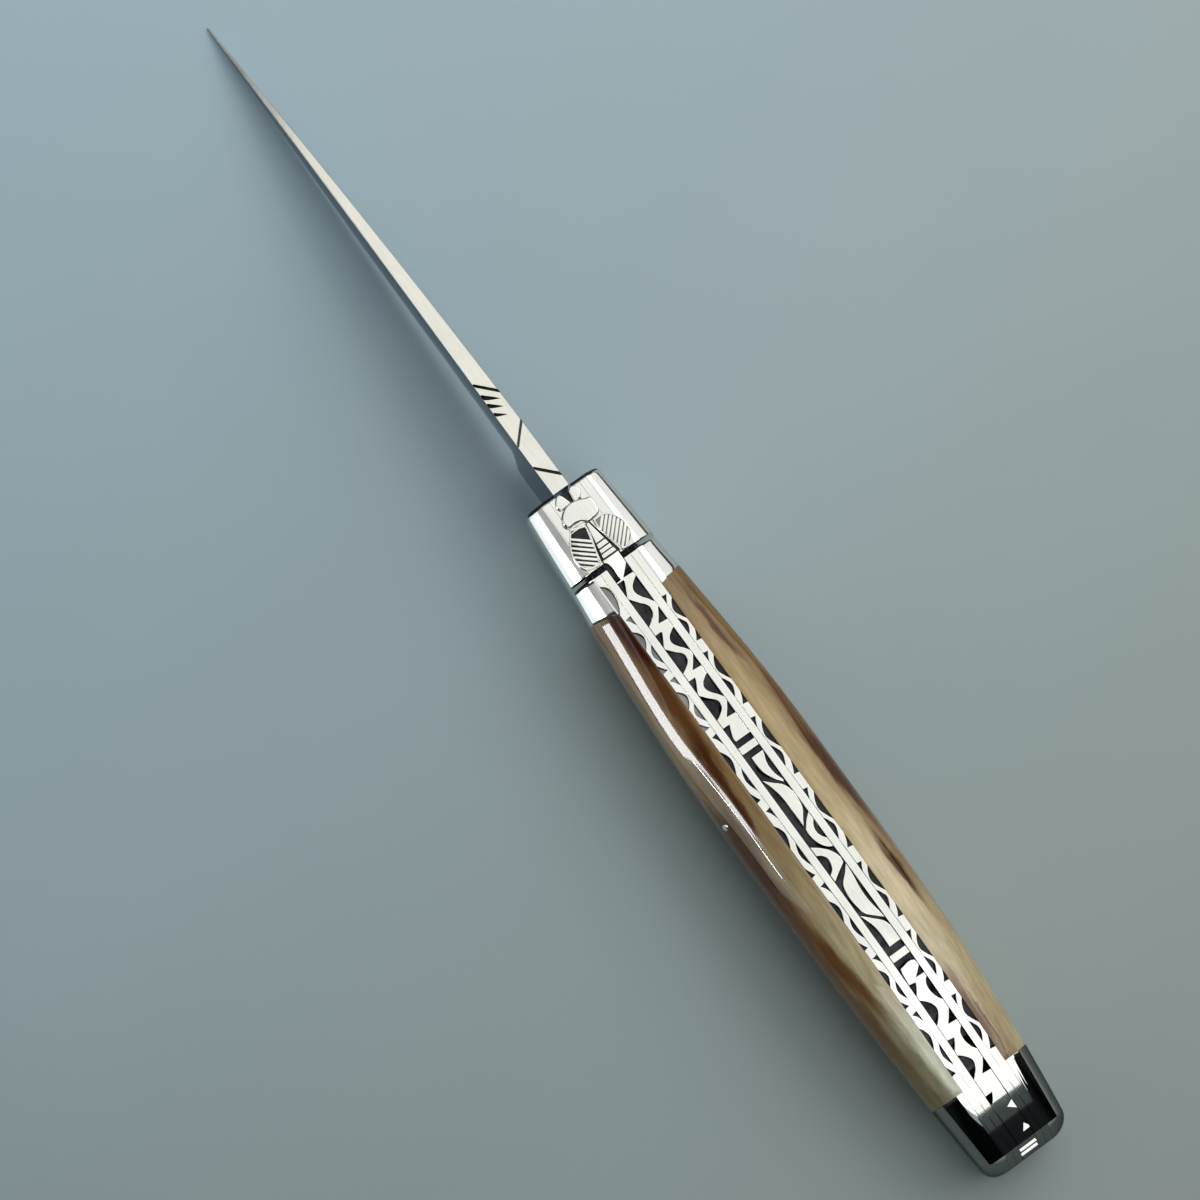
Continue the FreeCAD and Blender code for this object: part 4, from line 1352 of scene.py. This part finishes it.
# floor, light and camera
# the near, far, left and right colours of the floor are painted light
floorLook = {
    "size": 6.0, "far": (0.606, 0.785, 0.90), "near": (0.384, 0.465, 0.481), "mottle": (0.95, 0.95, 0.95),
    "left": (1.12, 1.22, 1.29), "right": (0.87, 0.775, 0.66), "farwards": (0.8, -1),
    "rightwards": (-0.59, -0.81), "slope": 3.0,
}


# Board whose colour changes from near to far and from left to right, a little mottled: painted light,
# brighter far off, and bluish and brighter on the left
def makeBoardWithPaintedLight():
    material, tree, shader = newMaterial("boardWithPaintedLight")
    place = addNode(tree, "TexCoord", {}).outputs["Object"]
    x, y, z = addNode(tree, "SeparateXYZ", {0: place}).outputs
    shares = []
    for alongX, alongY in (floorLook["farwards"], floorLook["rightwards"]):
        reach = addMath(tree, "MULTIPLY_ADD", x, alongX, addMath(tree, "MULTIPLY", y, alongY))
        shares.append(addMath(tree, "MULTIPLY_ADD", reach, floorLook["slope"], 0.5))
    colour = addRamp(tree, shares[0], [(0.0, floorLook["near"]), (1.0, floorLook["far"])])
    tint = addRamp(tree, shares[1], [(0.0, floorLook["left"]), (1.0, floorLook["right"])])
    colour = addMix(tree, 1, colour, tint, "MULTIPLY")
    cloud = addNode(tree, "TexNoise", {"Vector": place, "Scale": 9, "Detail": 6}).outputs["Fac"]
    mottle = addRamp(tree, cloud, [(0.35, floorLook["mottle"]), (0.65, (1, 1, 1))])
    feed(tree, shader, {"Base Color": addMix(tree, 1, colour, mottle, "MULTIPLY"), "Roughness": 0.7})
    return material


bpy.ops.mesh.primitive_plane_add(size=floorLook["size"])
floor = bpy.context.object
floor.name = "floor"
paint(floor, makeBoardWithPaintedLight())


# Radiance is what a mirror would show of the lamp
def areaLamp(name, location, target, size, radiance, colour):
    bpy.ops.object.light_add(type="AREA", location=location)
    lamp = bpy.context.object
    lamp.name = name
    lamp.data.shape = "RECTANGLE"
    lamp.data.size, lamp.data.size_y = size
    lamp.data.energy = radiance * math.pi * size[0] * size[1]
    lamp.data.color = colour
    aim = Vector(target) - Vector(location)
    lamp.rotation_euler = aim.to_track_quat("-Z", "Y").to_euler()
    return lamp


# Lamps kept off the floor light the knife and leave its shadow dark
shade = bpy.data.collections.new("shadedFloor")
shade.objects.link(floor)
shade.collection_objects[0].light_linking.link_state = "EXCLUDE"


def keepOffFloor(lamp):
    lamp.light_linking.receiver_collection = shade


# Panels overhead as (name, x from, x to, y from, y to, radiance, colour), all a metre above the floor
panels = [
    ("overheadPanel", -0.22, 0.95, -0.5, 0.06, 0.76, (1.0, 1.0, 0.97)),
    ("rearPanel", -0.655, -0.22, -0.5, 0.25, 1.25, (1.0, 1.0, 0.99)),
    ("rearLeftPanel", -0.655, -0.25, 0.25, 0.6, 2.5, (1.0, 1.0, 1.0)),
    ("tailPanel", -0.72, -0.655, -0.5, 0.25, 0.055, (0.8, 1.0, 1.0)),
    ("tailLeftPanel", -0.70, -0.655, 0.25, 0.6, 0.36, (0.85, 1.0, 1.0)),
    ("rightPanel", -0.72, 1.0, -0.95, -0.5, 1.5, (1.0, 1.0, 0.98)),
    ("farRightPanel", -0.79, 1.0, -1.6, -0.95, 1.5, (1.0, 1.0, 0.98)),
    ("leftPanel", 0.147, 0.95, 0.06, 1.0, 0.42, (1.0, 1.0, 0.98)),
    ("neckPanel", 0.13, 0.147, 0.06, 1.0, 1.1, (1.0, 1.0, 1.0)),
]
for name, left, right, near, far, radiance, colour in panels:
    x, y = (left + right) / 2, (near + far) / 2
    lamp = areaLamp(name, (x, y, 1.0), (x, y, 0), (right - left, far - near), radiance, colour)
    if name == "rearLeftPanel":
        keepOffFloor(lamp)


# Window on the knife's left, at an angle down from straight overhead: a pale pane with a bright slit in it
def windowLamp(name, left, right, angle, distance, breadth, radiance, colour):
    x = (left + right) / 2
    y, z = distance * math.sin(math.radians(angle)), distance * math.cos(math.radians(angle))
    return areaLamp(name, (x, y, z), (x, 0, 0), (right - left, breadth), radiance, colour)


keepOffFloor(windowLamp("windowPane", -0.02, 0.9, 66, 1.25, 0.9, 1.15, (0.88, 0.97, 1.0)))
slit = windowLamp("windowSlit", 0.027, 0.2, 58, 1.2, 0.34, 17, (0.95, 0.98, 1.0))
slitEdge = windowLamp("windowEdge", 0.004, 0.027, 58, 1.2, 0.03, 45, (0.95, 0.98, 1.0))
# the slit and its edge show in the polish alone
slit.visible_diffuse = False
slitEdge.visible_diffuse = False
areaLamp("rightWall", (0.35, -1.65, 0.6), (0.35, 0, 0.6), (1.3, 0.8), 1.0, (1.0, 0.99, 0.96))

# The room is dark behind the tail, on the left and low on the right, and dim elsewhere; ramps run
# from behind to ahead and from right to left
room = {
    "ahead": [(0.0, (0.01, 0.012, 0.014)), (0.3, (0.012, 0.014, 0.016)), (0.41, (0.36, 0.37, 0.36)),
              (1.0, (0.42, 0.43, 0.42))],
    "leftwards": [(0.0, (0.1, 0.1, 0.1)), (0.1, (0.12, 0.12, 0.12)), (0.3, (0.8, 0.8, 0.8)),
                  (0.5, (0.7, 0.7, 0.7)), (0.56, (0.12, 0.12, 0.12)), (1.0, (0.12, 0.12, 0.12))],
    "behindFloor": (0.33, 0.41, 0.46, 1),
}


def makeRoom():
    world = bpy.data.worlds.new("room")
    world.use_nodes = True
    tree = world.node_tree
    direction = addNode(tree, "TexCoord", {}).outputs["Generated"]
    x, y, z = addNode(tree, "SeparateXYZ", {0: direction}).outputs
    walls = [addRamp(tree, addMath(tree, "MULTIPLY_ADD", way, 0.5, 0.5), room[name])
             for way, name in ((x, "ahead"), (y, "leftwards"))]
    seen = addNode(tree, "LightPath", {}).outputs["Is Camera Ray"]
    colour = addMix(tree, seen, addMix(tree, 1, *walls, "MULTIPLY"), room["behindFloor"])
    feed(tree, tree.nodes["Background"], {"Color": colour, "Strength": 1})
    return world


bpy.context.scene.world = makeRoom()

photo = {
    "location": (-0.0435866, 0.0910669, 0.6117384), "turn": (8.016622, -4.385632, -125.805476),
    "lens": 122.214, "sensor": 36, "nearest": 0.01,
}
turns = [math.radians(angle) for angle in photo["turn"]]
bpy.ops.object.camera_add(location=photo["location"], rotation=turns)
camera = bpy.context.object
camera.data.sensor_width = photo["sensor"]
camera.data.lens = photo["lens"]
camera.data.clip_start = photo["nearest"]
bpy.context.scene.camera = camera
bpy.context.scene.view_settings.view_transform = "Standard"
print("stage set")

bpy.context.view_layer.update()
